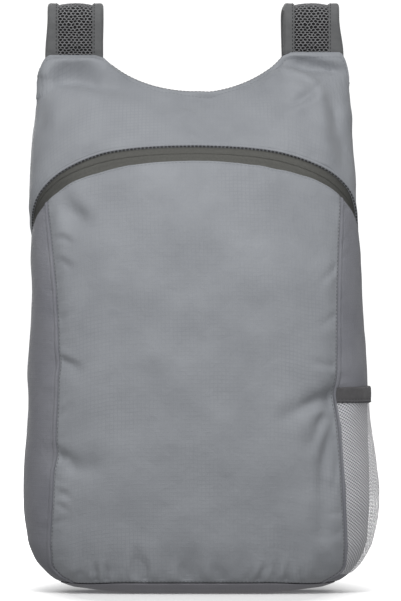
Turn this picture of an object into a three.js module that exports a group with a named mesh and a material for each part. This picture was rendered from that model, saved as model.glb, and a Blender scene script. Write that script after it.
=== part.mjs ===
// A light packable day backpack of thin ripstop nylon, standing on its flat base, zipped shut.
// Lengths are millimetres. X points to the viewer's right, -Y to the viewer, who sees the bag's
// front, and Z up. The origin is the middle of the flat base, on the floor.
//
// The body is one closed skin. A place on it is an angle round the bag, 0 at the front, a right
// angle at the viewer's right side and half a turn at the back, with a height. Every cloth piece
// is a patch of that skin with a thickness, and every seam is a line on it.
import * as THREE from 'three';

// Body
const BODY_HEIGHT = 420;
const BODY_WIDTH = 272;
const FRONT_DEPTH = 68;
const BACK_DEPTH = 52;
const TOP_SET_BACK = 28.5;
const TOP_LEAN = 3.5;
const LEAN_START = 0.45;
const LEAN_END = 0.82;
const CLOTH = 1.2;
const GAP = 0.35;
const BASE_LIP = 8;
const NECK_DROP = 28;
const TOP_CORNER_WIDTH = 9.5;
const TOP_CORNER_DROP = 22;
const TOP_TAPER = 75;
const TAPER_ROUNDNESS = 0.85;
const HEM_FLAT_SHARE = 0.12;
const EDGE_SHARE = 0.3;
const SEAM_PINCH = 1.6;
const SEAM_PINCH_WIDTH = 7;
const FOLD_WIDTH = 10;
const FOLD_DEPTH = 4;
const GATHER_DEPTH = 1.4;
const GATHER_PITCH = 26;
const GATHER_BEAT = 1.7;
const GATHER_HEIGHT = 34;

// Zip
const ZIP_APEX = 342.5;
const ZIP_DROP = 64;
const ZIP_DROP_POWER = 0.92;
const ZIP_REAR_DROP = 0.75;
const ZIP_OPEN_WIDTH = 13;
const ZIP_UNDERLAP = 5;
const ZIP_TAPE = 1;
const ZIP_CLEARANCE = 0.7;
const ZIP_COIL_WIDTH = 4.8;
const ZIP_COIL = 1.5;
const SLIDER_LENGTH = 10;
const SLIDER_WIDTH = 8;
const SLIDER_HEIGHT = 2.4;
const SLIDER_NECK = 1;
const PULL_LENGTH = 22;
const PULL_WIDTH = 4.6;

// Net pocket on the right side
const POCKET_BOTTOM = 12;
const POCKET_TOP = 160;
const POCKET_BULGE = 7;
const POCKET_PRESS = 2.4;
const POCKET_NET = 1;
const POCKET_BINDING_HEIGHT = 12.5;
const POCKET_BINDING = 1.6;
const POCKET_INSET = 0.01;

// Shoulder straps
const STRAP_WIDTH = 44;
const STRAP_SIDE_MARGIN = 6.6;
const STRAP_RISE = 41;
const STRAP_TUCK = 12;
const STRAP_ARCH = 10.5;
const STRAP_CORE = 2.6;
const STRAP_CROWN = 1.7;
const STRAP_TONGUE = 2;
const STRAP_STAND_BACK = 91;
const STRAP_FOOT_SPLAY = 15;
const STRAP_SPLAY_POWER = 1.3;
const STRAP_END_HEIGHT = 160;
const BINDING_WIDTH = 8.6;
const BINDING = 1;
const WEB_WIDTH = 20;
const WEB = 1.4;
const WEB_TAIL = 85;
const LOOP_TAIL = 18;
const LOCK_BAR = 3;
const LOCK_SLOT = 6;
const LOCK_RAIL = 3.2;
const LOCK_CLEARANCE = 0.8;
const ANCHOR_HEIGHT = 24;
const ANCHOR_TAB = 1.5;
const ANCHOR_SHARE = 0.74;
const ANCHOR_HALF = 0.11;

// Sections of the body from the floor to the hem. Heights are shares of BODY_HEIGHT, half widths
// of half BODY_WIDTH, depths of FRONT_DEPTH and BACK_DEPTH, and the middle of TOP_SET_BACK.
// Powers say how square the plan is: 2 is an ellipse. The seams are shares of the half width.
const SECTION_COLUMNS = [
  'up', 'wide', 'front', 'back', 'middle', 'frontPower', 'backPower', 'frontSeam', 'backSeam',
];
const SECTIONS = [
  [0.000, 0.724, 0.559, 0.731, 0.00, 3.6, 4.0, 0.900, 0.930],
  [0.008, 0.794, 0.676, 0.827, 0.00, 3.5, 4.0, 0.900, 0.930],
  [0.022, 0.860, 0.779, 0.904, 0.00, 3.4, 4.2, 0.915, 0.930],
  [0.040, 0.901, 0.846, 0.942, 0.00, 3.2, 4.4, 0.925, 0.930],
  [0.064, 0.941, 0.897, 0.962, 0.00, 3.1, 4.6, 0.900, 0.930],
  [0.098, 0.978, 0.949, 0.981, 0.00, 3.0, 4.6, 0.870, 0.930],
  [0.190, 1.000, 1.000, 0.990, 0.00, 3.0, 4.6, 0.835, 0.930],
  [0.357, 0.979, 1.000, 1.000, 0.00, 3.0, 4.6, 0.826, 0.930],
  [0.543, 0.949, 0.919, 0.962, 0.03, 2.9, 4.5, 0.857, 0.945],
  [0.636, 0.945, 0.853, 0.885, 0.14, 2.8, 4.2, 0.880, 0.965],
  [0.729, 0.938, 0.765, 0.731, 0.35, 2.7, 3.8, 0.905, 0.980],
  [0.824, 0.929, 0.662, 0.519, 0.60, 2.5, 3.4, 0.905, 0.990],
  [0.917, 0.906, 0.529, 0.269, 0.84, 2.4, 3.0, 0.905, 1.000],
  [1.000, 0.893, 0.412, 0.115, 1.00, 2.4, 2.6, 0.905, 1.000],
];

// Folds of the front. Both ends are shares of half BODY_WIDTH and of BODY_HEIGHT. The width is a
// share of FOLD_WIDTH, and the lift of FOLD_DEPTH, below nought for a valley.
const FOLD_COLUMNS = ['x0', 'up0', 'x1', 'up1', 'width', 'lift'];
const FOLDS = [
  [0.58, 0.985, 0.86, 0.965, 0.90, -0.85],
  [0.52, 0.980, 0.72, 0.935, 1.00, 0.45],
  [0.72, 0.930, 0.80, 0.840, 0.90, -0.50],
  [-0.76, 0.975, -0.52, 0.972, 1.00, -0.55],
  [-0.16, 0.885, 0.02, 0.850, 0.80, 0.25],
  [-0.76, 0.738, -0.66, 0.700, 0.80, -0.60],
  [-0.82, 0.255, -0.62, 0.235, 0.90, -0.65],
  [-0.82, 0.425, -0.70, 0.415, 0.70, -0.40],
  [0.80, 0.375, 0.52, 0.328, 0.85, -0.75],
  [0.80, 0.360, 0.66, 0.280, 0.80, -0.60],
  [0.80, 0.340, 0.71, 0.110, 0.80, -0.45],
  [0.62, 0.300, 0.70, 0.180, 1.00, 0.40],
];

// Rear drop of a strap from its arch to the end of the pad: how far down, and how far back, as
// shares of the whole drop and of the whole way back
const STRAP_DROP = [
  [0.10, 0.08],
  [0.19, 0.21],
  [0.29, 0.36],
  [0.41, 0.57],
  [0.60, 0.81],
  [0.79, 0.95],
  [1.00, 1.00],
];

// Finishes, one material for each piece
const FINISHES = {
  cloth: { color: 0x8f9296, roughness: 0.62, metalness: 0 },
  sideCloth: { color: 0x7c7d80, roughness: 0.64, metalness: 0 },
  baseCloth: { color: 0x5c5b60, roughness: 0.7, metalness: 0 },
  zipTape: { color: 0x5f5f5d, roughness: 0.75, metalness: 0 },
  coil: { color: 0x3a3a3b, roughness: 0.5, metalness: 0 },
  slider: { color: 0x4a4b4d, roughness: 0.4, metalness: 0.6 },
  net: { color: 0x8f8f93, roughness: 0.8, metalness: 0 },
  binding: { color: 0x4f4e50, roughness: 0.85, metalness: 0 },
  airMesh: { color: 0x57575a, roughness: 0.9, metalness: 0 },
  strapTape: { color: 0x6a6b6d, roughness: 0.8, metalness: 0 },
  web: { color: 0x5a5b5d, roughness: 0.8, metalness: 0 },
  buckle: { color: 0x2f3032, roughness: 0.45, metalness: 0 },
};

const halfWidth = BODY_WIDTH / 2;
const clamp = THREE.MathUtils.clamp;
const mix = THREE.MathUtils.lerp;
const smooth = (value, low, high) => THREE.MathUtils.smoothstep(value, low, high);

// Reads a table's column at any height, on a cubic that never passes beyond the rows' values
function smoothColumn(rows, column) {
  const at = rows.map((row) => row[0]);
  const value = rows.map((row) => row[column]);
  const rise = at.slice(1).map((x, i) => (value[i + 1] - value[i]) / (x - at[i]));
  const slope = value.map((_, i) => {
    const before = rise[Math.max(i - 1, 0)];
    const after = rise[Math.min(i, rise.length - 1)];
    return before * after > 0 ? (2 * before * after) / (before + after) : 0;
  });
  return (x) => {
    const place = clamp(x, at[0], at[at.length - 1]);
    let row = 0;
    while (row < rise.length - 1 && place > at[row + 1]) row += 1;
    const span = at[row + 1] - at[row];
    const t = (place - at[row]) / span;
    const t2 = t * t;
    const t3 = t2 * t;
    return value[row] * (2 * t3 - 3 * t2 + 1) + value[row + 1] * (3 * t2 - 2 * t3)
      + span * (slope[row] * (t3 - 2 * t2 + t) + slope[row + 1] * (t3 - t2));
  };
}

const section = {};
SECTION_COLUMNS.forEach((name, column) => {
  section[name] = smoothColumn(SECTIONS, column);
});
const folds = FOLDS.map((row) => Object.fromEntries(FOLD_COLUMNS.map((name, i) => [name, row[i]])));

// Hem line: a scooped neck between two level shoulders with rounded corners. The straps come out
// of the shoulders, so the neck ends where they start.
const topHalfWidth = halfWidth * section.wide(1);
const strapCentre = topHalfWidth - STRAP_SIDE_MARGIN - STRAP_WIDTH / 2;
const neckHalfWidth = strapCentre - STRAP_WIDTH / 2 - GAP;
const neckRadius = (neckHalfWidth ** 2 + NECK_DROP ** 2) / (2 * NECK_DROP);

function topEdge(across) {
  const x = Math.abs(across) * topHalfWidth;
  if (x < neckHalfWidth) {
    return BODY_HEIGHT - NECK_DROP + neckRadius - Math.sqrt(neckRadius ** 2 - x ** 2);
  }
  const past = clamp((x - topHalfWidth) / TOP_CORNER_WIDTH + 1, 0, 1);
  return BODY_HEIGHT - TOP_CORNER_DROP * (1 - Math.sqrt(1 - past ** 2));
}

// The front and the back meet in one flat hem. They part a little where a strap is sewn between.
function hemRoom(across) {
  const x = Math.abs(across) * topHalfWidth;
  const strapRoom = STRAP_TONGUE / 2 + GAP;
  const start = neckHalfWidth - STRAP_WIDTH / 4;
  return mix(GAP / 2, strapRoom, smooth(x, start - STRAP_WIDTH / 4, start));
}

// The top leans a little to the viewer's left
const lean = (z) => -TOP_LEAN * smooth(z, LEAN_START * BODY_HEIGHT, LEAN_END * BODY_HEIGHT);
const middle = (z) => TOP_SET_BACK * section.middle(z / BODY_HEIGHT);
const isFront = (angle) => Math.cos(angle) >= 0;

// Shares of the half width and of the depth that the plan outline reaches at an angle
function planShares(angle, z) {
  const up = z / BODY_HEIGHT;
  const power = isFront(angle) ? section.frontPower(up) : section.backPower(up);
  const wide = Math.abs(Math.sin(angle));
  const deep = Math.abs(Math.cos(angle));
  const reach = (wide ** power + deep ** power) ** (1 / power);
  return { across: Math.sin(angle) / reach, deep: deep / reach };
}

// Seams lie at shares of the half width, so their angles follow from the plan's squareness
const cornerAngle = (share, power) => Math.atan2(share, (1 - share ** power) ** (1 / power));
const frontAngle = (share, z) => cornerAngle(share, section.frontPower(z / BODY_HEIGHT));
const backAngle = (share, z) => cornerAngle(share, section.backPower(z / BODY_HEIGHT));
const frontSeam = (z) => frontAngle(section.frontSeam(z / BODY_HEIGHT), z);
const backSeam = (z) => Math.PI - backAngle(section.backSeam(z / BODY_HEIGHT), z);

// Height that a fold, a pinched seam, a gather or the pressed pocket side adds to the skin
function relief(angle, z) {
  const { across, deep } = planShares(angle, z);
  let lift = 0;
  if (isFront(angle)) {
    const x = across * halfWidth * section.wide(z / BODY_HEIGHT);
    const near = smooth(deep, 0.1, 0.6);
    for (const fold of folds) {
      const from = new THREE.Vector2(fold.x0 * halfWidth, fold.up0 * BODY_HEIGHT);
      const to = new THREE.Vector2(fold.x1 * halfWidth, fold.up1 * BODY_HEIGHT);
      const along = to.clone().sub(from);
      const place = new THREE.Vector2(x, z).sub(from);
      const share = clamp(place.dot(along) / along.lengthSq(), 0, 1);
      const away = place.sub(along.multiplyScalar(share)).length();
      lift += near * FOLD_DEPTH * fold.lift * Math.exp(-((away / (FOLD_WIDTH * fold.width)) ** 2));
    }
    const wave = Math.sin(2 * Math.PI * x / GATHER_PITCH) * Math.cos(GATHER_BEAT * x / GATHER_PITCH);
    const fade = 1 - smooth(z, 2 * BASE_LIP, GATHER_HEIGHT + BASE_LIP);
    const low = smooth(z, BASE_LIP, 2 * BASE_LIP) * fade;
    lift += near * GATHER_DEPTH * wave * low;
    const seamX = section.frontSeam(z / BODY_HEIGHT) * halfWidth * section.wide(z / BODY_HEIGHT);
    const belowZip = 1 - smooth(z, ZIP_APEX - ZIP_DROP, ZIP_APEX);
    lift -= SEAM_PINCH * belowZip * Math.exp(-(((Math.abs(x) - seamX) / SEAM_PINCH_WIDTH) ** 2));
  }
  if (across > 0 && z > POCKET_BOTTOM && z < POCKET_TOP) {
    const round = clamp((angle - frontSeam(z)) / (backSeam(z) - frontSeam(z)), 0, 1);
    const high = (z - POCKET_BOTTOM) / (POCKET_TOP - POCKET_BOTTOM);
    lift -= POCKET_PRESS * Math.sin(Math.PI * round) * Math.sin(Math.PI * high);
  }
  return lift;
}

// A point of the body's outer skin
function skin(angle, z) {
  const up = z / BODY_HEIGHT;
  const { across, deep } = planShares(angle, z);
  const below = clamp((topEdge(across) - z) / TOP_TAPER, 0, 1);
  const fullness = Math.sin(below * Math.PI / 2) ** TAPER_ROUNDNESS;
  const side = isFront(angle) ? -1 : 1;
  const depth = isFront(angle) ? FRONT_DEPTH * section.front(up) : BACK_DEPTH * section.back(up);
  const hem = (hemRoom(across) + CLOTH) * Math.min(1, deep / EDGE_SHARE) * (1 - fullness);
  const point = new THREE.Vector3(
    lean(z) + halfWidth * section.wide(up) * across,
    middle(z) + side * (hem + depth * deep * fullness),
    z,
  );
  const out = new THREE.Vector3(Math.sin(angle), -Math.cos(angle), 0);
  return point.addScaledVector(out, relief(angle, z) * smooth(below, 0, HEM_FLAT_SHARE));
}

const ANGLE_STEP = 0.01;
const HEIGHT_STEP = 0.5;

function outward(angle, z) {
  const round = skin(angle + ANGLE_STEP, z).sub(skin(angle - ANGLE_STEP, z));
  const rise = skin(angle, z + HEIGHT_STEP).sub(skin(angle, z - HEIGHT_STEP));
  return round.cross(rise).normalize();
}

// Millimetres round the skin for one radian, and the angle of a seam moved by half the gap
function girthRate(angle, z) {
  return skin(angle + ANGLE_STEP, z).distanceTo(skin(angle - ANGLE_STEP, z)) / (2 * ANGLE_STEP);
}
const besideSeam = (angle, z, way) => angle + way * GAP / 2 / girthRate(angle, z);

// Both faces of a wall laid on the skin. Near the hem each layer keeps to its own side.
function wallPoints(angle, z, lift, thickness) {
  const normal = outward(angle, z);
  const outer = skin(angle, z).addScaledVector(normal, lift);
  const inner = outer.clone().addScaledVector(normal, -thickness);
  const { across, deep } = planShares(angle, z);
  if (topEdge(across) - z < TOP_TAPER / 3) {
    const room = hemRoom(across) * Math.min(1, deep / EDGE_SHARE);
    const limit = middle(inner.z);
    inner.y = isFront(angle) ? Math.min(inner.y, limit - room) : Math.max(inner.y, limit + room);
  }
  return { outer, inner };
}

// Makes a geometry from a list of triangles' corners, turned so that its faces look outward
function solid(corners) {
  let volume = 0;
  const cross = new THREE.Vector3();
  for (let i = 0; i < corners.length; i += 3) {
    volume += corners[i].dot(cross.crossVectors(corners[i + 1], corners[i + 2]));
  }
  const positions = [];
  for (let i = 0; i < corners.length; i += 3) {
    const triangle = corners.slice(i, i + 3);
    if (volume < 0) triangle.reverse();
    triangle.forEach((corner) => positions.push(corner.x, corner.y, corner.z));
  }
  const geometry = new THREE.BufferGeometry();
  geometry.setAttribute('position', new THREE.Float32BufferAttribute(positions, 3));
  geometry.computeVertexNormals();
  return geometry;
}

// A wall between two matching grids of points. A ring's last column joins its first, and a floor
// closes a ring's lowest row with two flat plates, so that the wall becomes a cup.
function wallSolid(outer, inner, { ring = false, floor = false } = {}) {
  const corners = [];
  const quad = (a, b, c, d) => corners.push(a, b, c, a, c, d);
  const rows = outer.length - 1;
  const columns = outer[0].length;
  const last = ring ? columns : columns - 1;
  for (let j = 0; j < last; j += 1) {
    const k = (j + 1) % columns;
    for (let i = 0; i < rows; i += 1) {
      quad(outer[i][j], outer[i][k], outer[i + 1][k], outer[i + 1][j]);
      corners.push(inner[i][j], inner[i + 1][k], inner[i][k]);
      corners.push(inner[i][j], inner[i + 1][j], inner[i + 1][k]);
    }
    if (!floor) quad(outer[0][k], outer[0][j], inner[0][j], inner[0][k]);
    quad(outer[rows][j], outer[rows][k], inner[rows][k], inner[rows][j]);
  }
  for (let i = 0; i < rows && !ring; i += 1) {
    const end = columns - 1;
    quad(outer[i][0], outer[i + 1][0], inner[i + 1][0], inner[i][0]);
    quad(outer[i + 1][end], outer[i][end], inner[i][end], inner[i + 1][end]);
  }
  if (floor) {
    const plan = outer[0].map((point) => new THREE.Vector2(point.x, point.y));
    for (const face of THREE.ShapeUtils.triangulateShape(plan, [])) {
      const turn = plan[face[1]].clone().sub(plan[face[0]]).cross(plan[face[2]].clone().sub(plan[face[0]]));
      const [a, b, c] = turn > 0 ? face : [face[0], face[2], face[1]];
      corners.push(outer[0][a], outer[0][c], outer[0][b]);
      corners.push(inner[0][a], inner[0][b], inner[0][c]);
    }
  }
  return solid(corners);
}

// A patch of cloth: columns round the bag, each with its own lowest and highest point
function clothSheet(plan) {
  const { columns, rows, angle, bottom, top } = plan;
  const { crowd = 1, lift = () => 0, thickness = CLOTH } = plan;
  const outer = Array.from({ length: rows + 1 }, () => []);
  const inner = Array.from({ length: rows + 1 }, () => []);
  for (let j = 0; j <= columns; j += 1) {
    const across = j / columns;
    const low = bottom(across);
    const high = top(across);
    for (let i = 0; i <= rows; i += 1) {
      const up = i / rows;
      const z = mix(low, high, crowd > 0 ? up ** crowd : 1 - (1 - up) ** -crowd);
      let turn = angle(across, z);
      if (j === 0) turn = besideSeam(turn, z, 1);
      if (j === columns) turn = besideSeam(turn, z, -1);
      const points = wallPoints(turn, z, lift(across, up), thickness);
      outer[i].push(points.outer);
      inner[i].push(points.inner);
    }
  }
  return wallSolid(outer, inner);
}

// The height at which a column, whose angle depends on its height, meets an edge line
function meet(angleAt, heightAt) {
  let z = ZIP_APEX;
  for (let pass = 0; pass < 14; pass += 1) z = heightAt(angleAt(z), z);
  return z;
}

// The zip falls from its apex at the front as the skin turns away to the sides and the back
function zipFall(angle, z) {
  const { deep } = planShares(angle, z);
  const turned = isFront(angle) ? 1 - deep : 1 + ZIP_REAR_DROP * deep;
  return ZIP_APEX - ZIP_DROP * turned ** ZIP_DROP_POWER;
}
const zipHeight = (angle) => meet(() => angle, zipFall);

// A line beside the zip's middle, so many millimetres above it, measured square to the zip
function besideZip(angle, offset) {
  const z = zipHeight(angle);
  const reach = 3 * ANGLE_STEP;
  const before = skin(angle - reach, z);
  const after = skin(angle + reach, z);
  const climb = (zipHeight(angle + reach) - zipHeight(angle - reach)) / before.distanceTo(after);
  const rise = skin(angle, z + HEIGHT_STEP).distanceTo(skin(angle, z - HEIGHT_STEP)) / (2 * HEIGHT_STEP);
  return z + offset * Math.sqrt(1 + climb ** 2) / rise;
}
const zipOpen = ZIP_OPEN_WIDTH / 2;
const zipHold = zipOpen + ZIP_UNDERLAP;

// Angles across each panel, from its left edge at 0 to its right edge at 1, seen from outside
const FRONT_COLUMNS = 26;
const SIDE_COLUMNS = 6;
const LOW_ROWS = 20;
const HIGH_ROWS = 10;
const LOW_CROWD = 1.3;
const HIGH_CROWD = 1.3;
const YOKE_FRONT_SHARE = 0.88;
const YOKE_FRONT_COLUMNS = 20;
const YOKE_COLUMNS = YOKE_FRONT_COLUMNS + 2 * SIDE_COLUMNS;
const BACK_COLUMNS = 16;
const BACK_SPREAD = 0.35;

function frontPanelAngle(across, z) {
  const place = 2 * across - 1;
  return Math.sign(place) * frontAngle(Math.abs(place) * section.frontSeam(z / BODY_HEIGHT), z);
}
const rightSideAngle = (across, z) => mix(frontSeam(z), backSeam(z), across);
const leftSideAngle = (across, z) => -mix(backSeam(z), frontSeam(z), across);

function backPanelAngle(across, z) {
  const place = 2 * across - 1;
  const spread = 1 + BACK_SPREAD * (1 - place ** 2);
  const share = Math.abs(place) * spread * section.backSeam(z / BODY_HEIGHT);
  return Math.PI + Math.sign(place) * backAngle(Math.min(share, 1), z);
}

function yokeAngle(across, z) {
  const place = Math.abs(2 * across - 1);
  const side = Math.sign(2 * across - 1);
  const turn = YOKE_FRONT_COLUMNS / YOKE_COLUMNS;
  if (place <= turn) return side * frontAngle(place / turn * YOKE_FRONT_SHARE, z);
  return side * mix(frontAngle(YOKE_FRONT_SHARE, z), backSeam(z), (place - turn) / (1 - turn));
}

const underZipColumns = FRONT_COLUMNS + 2 * SIDE_COLUMNS;
function underZipAngle(across, z) {
  const column = across * underZipColumns;
  if (column < SIDE_COLUMNS) return leftSideAngle(column / SIDE_COLUMNS, z);
  if (column > underZipColumns - SIDE_COLUMNS) {
    return rightSideAngle((column - underZipColumns) / SIDE_COLUMNS + 1, z);
  }
  return frontPanelAngle((column - SIDE_COLUMNS) / FRONT_COLUMNS, z);
}

const backpack = new THREE.Group();

function addPiece(name, geometry, finish) {
  const mesh = new THREE.Mesh(geometry, new THREE.MeshStandardMaterial(finish));
  mesh.name = name;
  backpack.add(mesh);
}

// Cloth panels of the body
const lipTop = () => BASE_LIP + GAP / 2;

function lowPanel(name, columns, angle, finish) {
  const geometry = clothSheet({
    columns,
    rows: LOW_ROWS,
    crowd: LOW_CROWD,
    angle,
    bottom: lipTop,
    top: (across) => meet((z) => angle(across, z), (turn) => besideZip(turn, -zipOpen)),
  });
  addPiece(name, geometry, finish);
}
lowPanel('front_panel', FRONT_COLUMNS, frontPanelAngle, FINISHES.cloth);
lowPanel('side_panel_right', SIDE_COLUMNS, rightSideAngle, FINISHES.sideCloth);
lowPanel('side_panel_left', SIDE_COLUMNS, leftSideAngle, FINISHES.sideCloth);

const hemAbove = (angle) => (across) => meet(
  (z) => angle(across, z),
  (turn, z) => topEdge(planShares(turn, z).across),
);

addPiece('yoke_panel', clothSheet({
  columns: YOKE_COLUMNS,
  rows: HIGH_ROWS,
  crowd: -HIGH_CROWD,
  angle: yokeAngle,
  bottom: (across) => meet((z) => yokeAngle(across, z), (turn) => besideZip(turn, zipOpen)),
  top: hemAbove(yokeAngle),
}), FINISHES.cloth);

// The back runs from the base seam to the hem in one piece. Its rows meet those of the side
// panels below the zip's ends, and those of the yoke above them.
function backPanel() {
  const zipEndLow = meet(backSeam, (turn) => besideZip(turn, -zipOpen));
  const zipEndHigh = meet(backSeam, (turn) => besideZip(turn, zipOpen));
  const hem = hemAbove(backPanelAngle);
  const outer = [];
  const inner = [];
  const addRow = (heightAt) => {
    outer.push([]);
    inner.push([]);
    for (let j = 0; j <= BACK_COLUMNS; j += 1) {
      const across = j / BACK_COLUMNS;
      const z = heightAt(across);
      let turn = backPanelAngle(across, z);
      if (j === 0) turn = besideSeam(turn, z, 1);
      if (j === BACK_COLUMNS) turn = besideSeam(turn, z, -1);
      const points = wallPoints(turn, z, 0, CLOTH);
      outer.at(-1).push(points.outer);
      inner.at(-1).push(points.inner);
    }
  };
  for (let i = 0; i <= LOW_ROWS; i += 1) {
    addRow(() => mix(lipTop(), zipEndLow, (i / LOW_ROWS) ** LOW_CROWD));
  }
  const hems = Array.from({ length: BACK_COLUMNS + 1 }, (_, j) => hem(j / BACK_COLUMNS));
  for (let i = 0; i <= HIGH_ROWS; i += 1) {
    const up = 1 - (1 - i / HIGH_ROWS) ** HIGH_CROWD;
    addRow((across) => mix(zipEndHigh, hems[Math.round(across * BACK_COLUMNS)], up));
  }
  return wallSolid(outer, inner);
}
addPiece('back_panel', backPanel(), FINISHES.cloth);

// Base: a flat plate of cloth with a low lip that the panels are sewn to
function basePanel() {
  const heights = [0, 0.35 * BASE_LIP, BASE_LIP - GAP / 2];
  const girth = [
    [frontPanelAngle, FRONT_COLUMNS / 2],
    [rightSideAngle, SIDE_COLUMNS],
    [backPanelAngle, BACK_COLUMNS],
    [(across, z) => 2 * Math.PI + leftSideAngle(across, z), SIDE_COLUMNS],
  ];
  const outer = [];
  const inner = [];
  for (const z of heights) {
    outer.push([]);
    inner.push([]);
    for (const [angle, columns] of girth) {
      for (let j = 0; j < columns; j += 1) {
        const points = wallPoints(angle(j / columns, z), z, 0, CLOTH);
        if (z === 0) points.inner.z = CLOTH;
        points.inner.z = Math.max(points.inner.z, CLOTH);
        outer.at(-1).push(points.outer);
        inner.at(-1).push(points.inner);
      }
    }
  }
  return wallSolid(outer, inner, { ring: true, floor: true });
}
addPiece('base_panel', basePanel(), FINISHES.baseCloth);

// Zip: two tapes behind the cloth edges, the closed coil behind them, and the slider at the left
const tapeDepth = CLOTH + ZIP_CLEARANCE;

function zipTape(columns, angle, low, high, depth, thickness) {
  const line = (offset) => (across) => meet((z) => angle(across, z), (turn) => besideZip(turn, offset));
  return clothSheet({
    columns, rows: 1, angle, bottom: line(low), top: line(high), lift: () => -depth, thickness,
  });
}
addPiece('zip_tape_upper',
  zipTape(YOKE_COLUMNS, yokeAngle, GAP / 2, zipHold, tapeDepth, ZIP_TAPE), FINISHES.zipTape);
addPiece('zip_tape_lower',
  zipTape(underZipColumns, underZipAngle, -zipHold, -GAP / 2, tapeDepth, ZIP_TAPE), FINISHES.zipTape);
addPiece('zip_coil', zipTape(underZipColumns, underZipAngle, -ZIP_COIL_WIDTH / 2, ZIP_COIL_WIDTH / 2,
  tapeDepth + ZIP_TAPE + ZIP_CLEARANCE, ZIP_COIL), FINISHES.coil);

// A flat band along stations, each with its middle, its direction across, the direction of its
// face, and half its width and thickness
function band(stations) {
  const corner = (s, side, face) => s.at.clone()
    .addScaledVector(s.right, side * s.halfWidth)
    .addScaledVector(s.face, face * s.halfThickness);
  return wallSolid(
    stations.map((s) => [corner(s, -1, 1), corner(s, 1, 1)]),
    stations.map((s) => [corner(s, -1, -1), corner(s, 1, -1)]),
  );
}

function zipSlider() {
  const shape = [
    [0, SLIDER_WIDTH, SLIDER_HEIGHT],
    [SLIDER_LENGTH, SLIDER_WIDTH, SLIDER_HEIGHT],
    [SLIDER_LENGTH + SLIDER_NECK, PULL_WIDTH, SLIDER_HEIGHT / 2],
    [SLIDER_LENGTH + PULL_LENGTH / 2, PULL_WIDTH, SLIDER_HEIGHT / 2],
    [SLIDER_LENGTH + PULL_LENGTH, PULL_WIDTH, SLIDER_HEIGHT / 2],
  ];
  const endAngle = 6 * ANGLE_STEP - meetAngleAtZipEnd();
  const stations = shape.map(([along, width, height]) => {
    const place = walkZip(endAngle, along);
    const z = zipHeight(place);
    const face = outward(place, z);
    const next = place + 2 * ANGLE_STEP;
    const ahead = skin(next, zipHeight(next)).sub(skin(place, z)).normalize();
    const at = skin(place, z).addScaledVector(face, -tapeDepth + GAP + height / 2);
    const right = ahead.clone().cross(face).normalize();
    return { at, right, face, halfWidth: width / 2, halfThickness: height / 2 };
  });
  return band(stations);
}

// The angle of the back seam where the zip ends, and an angle so far along the zip from another
function meetAngleAtZipEnd() {
  return backSeam(meet(backSeam, (turn) => zipHeight(turn)));
}
function walkZip(start, distance) {
  const step = ANGLE_STEP / 2;
  let place = start;
  let gone = 0;
  let before = skin(place, zipHeight(place));
  while (gone < distance) {
    place += step;
    const after = skin(place, zipHeight(place));
    gone += after.distanceTo(before);
    before = after;
  }
  return place;
}
addPiece('zip_slider', zipSlider(), FINISHES.slider);

// Net pocket: it stands off the pressed right side most in its middle, and its mouth lies close
const pocketLipLow = POCKET_TOP - POCKET_BINDING_HEIGHT;
const pocketAngle = (across, z) => rightSideAngle(mix(POCKET_INSET, 1 - POCKET_INSET, across), z);

function pocketLift(across, up) {
  const bulge = POCKET_BULGE * Math.sin(Math.PI * up) ** 1.1;
  return 1.5 * GAP + Math.sin(Math.PI * across) ** 0.8 * mix(bulge, GAP, up ** 4);
}

addPiece('mesh_pocket', clothSheet({
  columns: SIDE_COLUMNS,
  rows: 9,
  angle: pocketAngle,
  bottom: () => POCKET_BOTTOM,
  top: () => pocketLipLow - GAP,
  lift: pocketLift,
  thickness: -POCKET_NET,
}), FINISHES.net);
addPiece('pocket_binding', clothSheet({
  columns: SIDE_COLUMNS,
  rows: 1,
  angle: pocketAngle,
  bottom: () => pocketLipLow,
  top: () => POCKET_TOP,
  lift: (across) => pocketLift(across, 1),
  thickness: -POCKET_BINDING,
}), FINISHES.binding);

// Shoulder straps. Each one is sewn into the hem, stands up, folds back over an arch and hangs
// behind the bag down to its ladder lock. Its path is a curve in the plane of Y and Z.
const rootY = middle(BODY_HEIGHT);
const archHeight = BODY_HEIGHT + STRAP_RISE - STRAP_CORE / 2 - BINDING - GAP - STRAP_ARCH;
const dropTop = new THREE.Vector2(rootY + 2 * STRAP_ARCH, archHeight);
const dropEnd = new THREE.Vector2(STRAP_STAND_BACK, STRAP_END_HEIGHT);

function strapPath() {
  const points = [
    [middle(BODY_HEIGHT - STRAP_TUCK), BODY_HEIGHT - STRAP_TUCK],
    [rootY, BODY_HEIGHT],
    [rootY, mix(BODY_HEIGHT, archHeight, 0.6)],
  ];
  for (let turn = 0; turn <= 4; turn += 1) {
    const angle = Math.PI * turn / 4;
    points.push([rootY + STRAP_ARCH * (1 - Math.cos(angle)), archHeight + STRAP_ARCH * Math.sin(angle)]);
  }
  for (const [down, back] of STRAP_DROP) {
    points.push([mix(dropTop.x, dropEnd.x, back), mix(dropTop.y, dropEnd.y, down)]);
  }
  const route = points.map(([y, z]) => new THREE.Vector3(0, y, z));
  return new THREE.CatmullRomCurve3(route, false, 'centripetal');
}
const strapCurve = strapPath();
const strapFoot = strapCentre + STRAP_FOOT_SPLAY;
const strapLength = strapCurve.getLength();
const tuckShare = STRAP_TUCK / strapLength;
const endShare = 1 - BINDING_WIDTH / strapLength;

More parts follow.
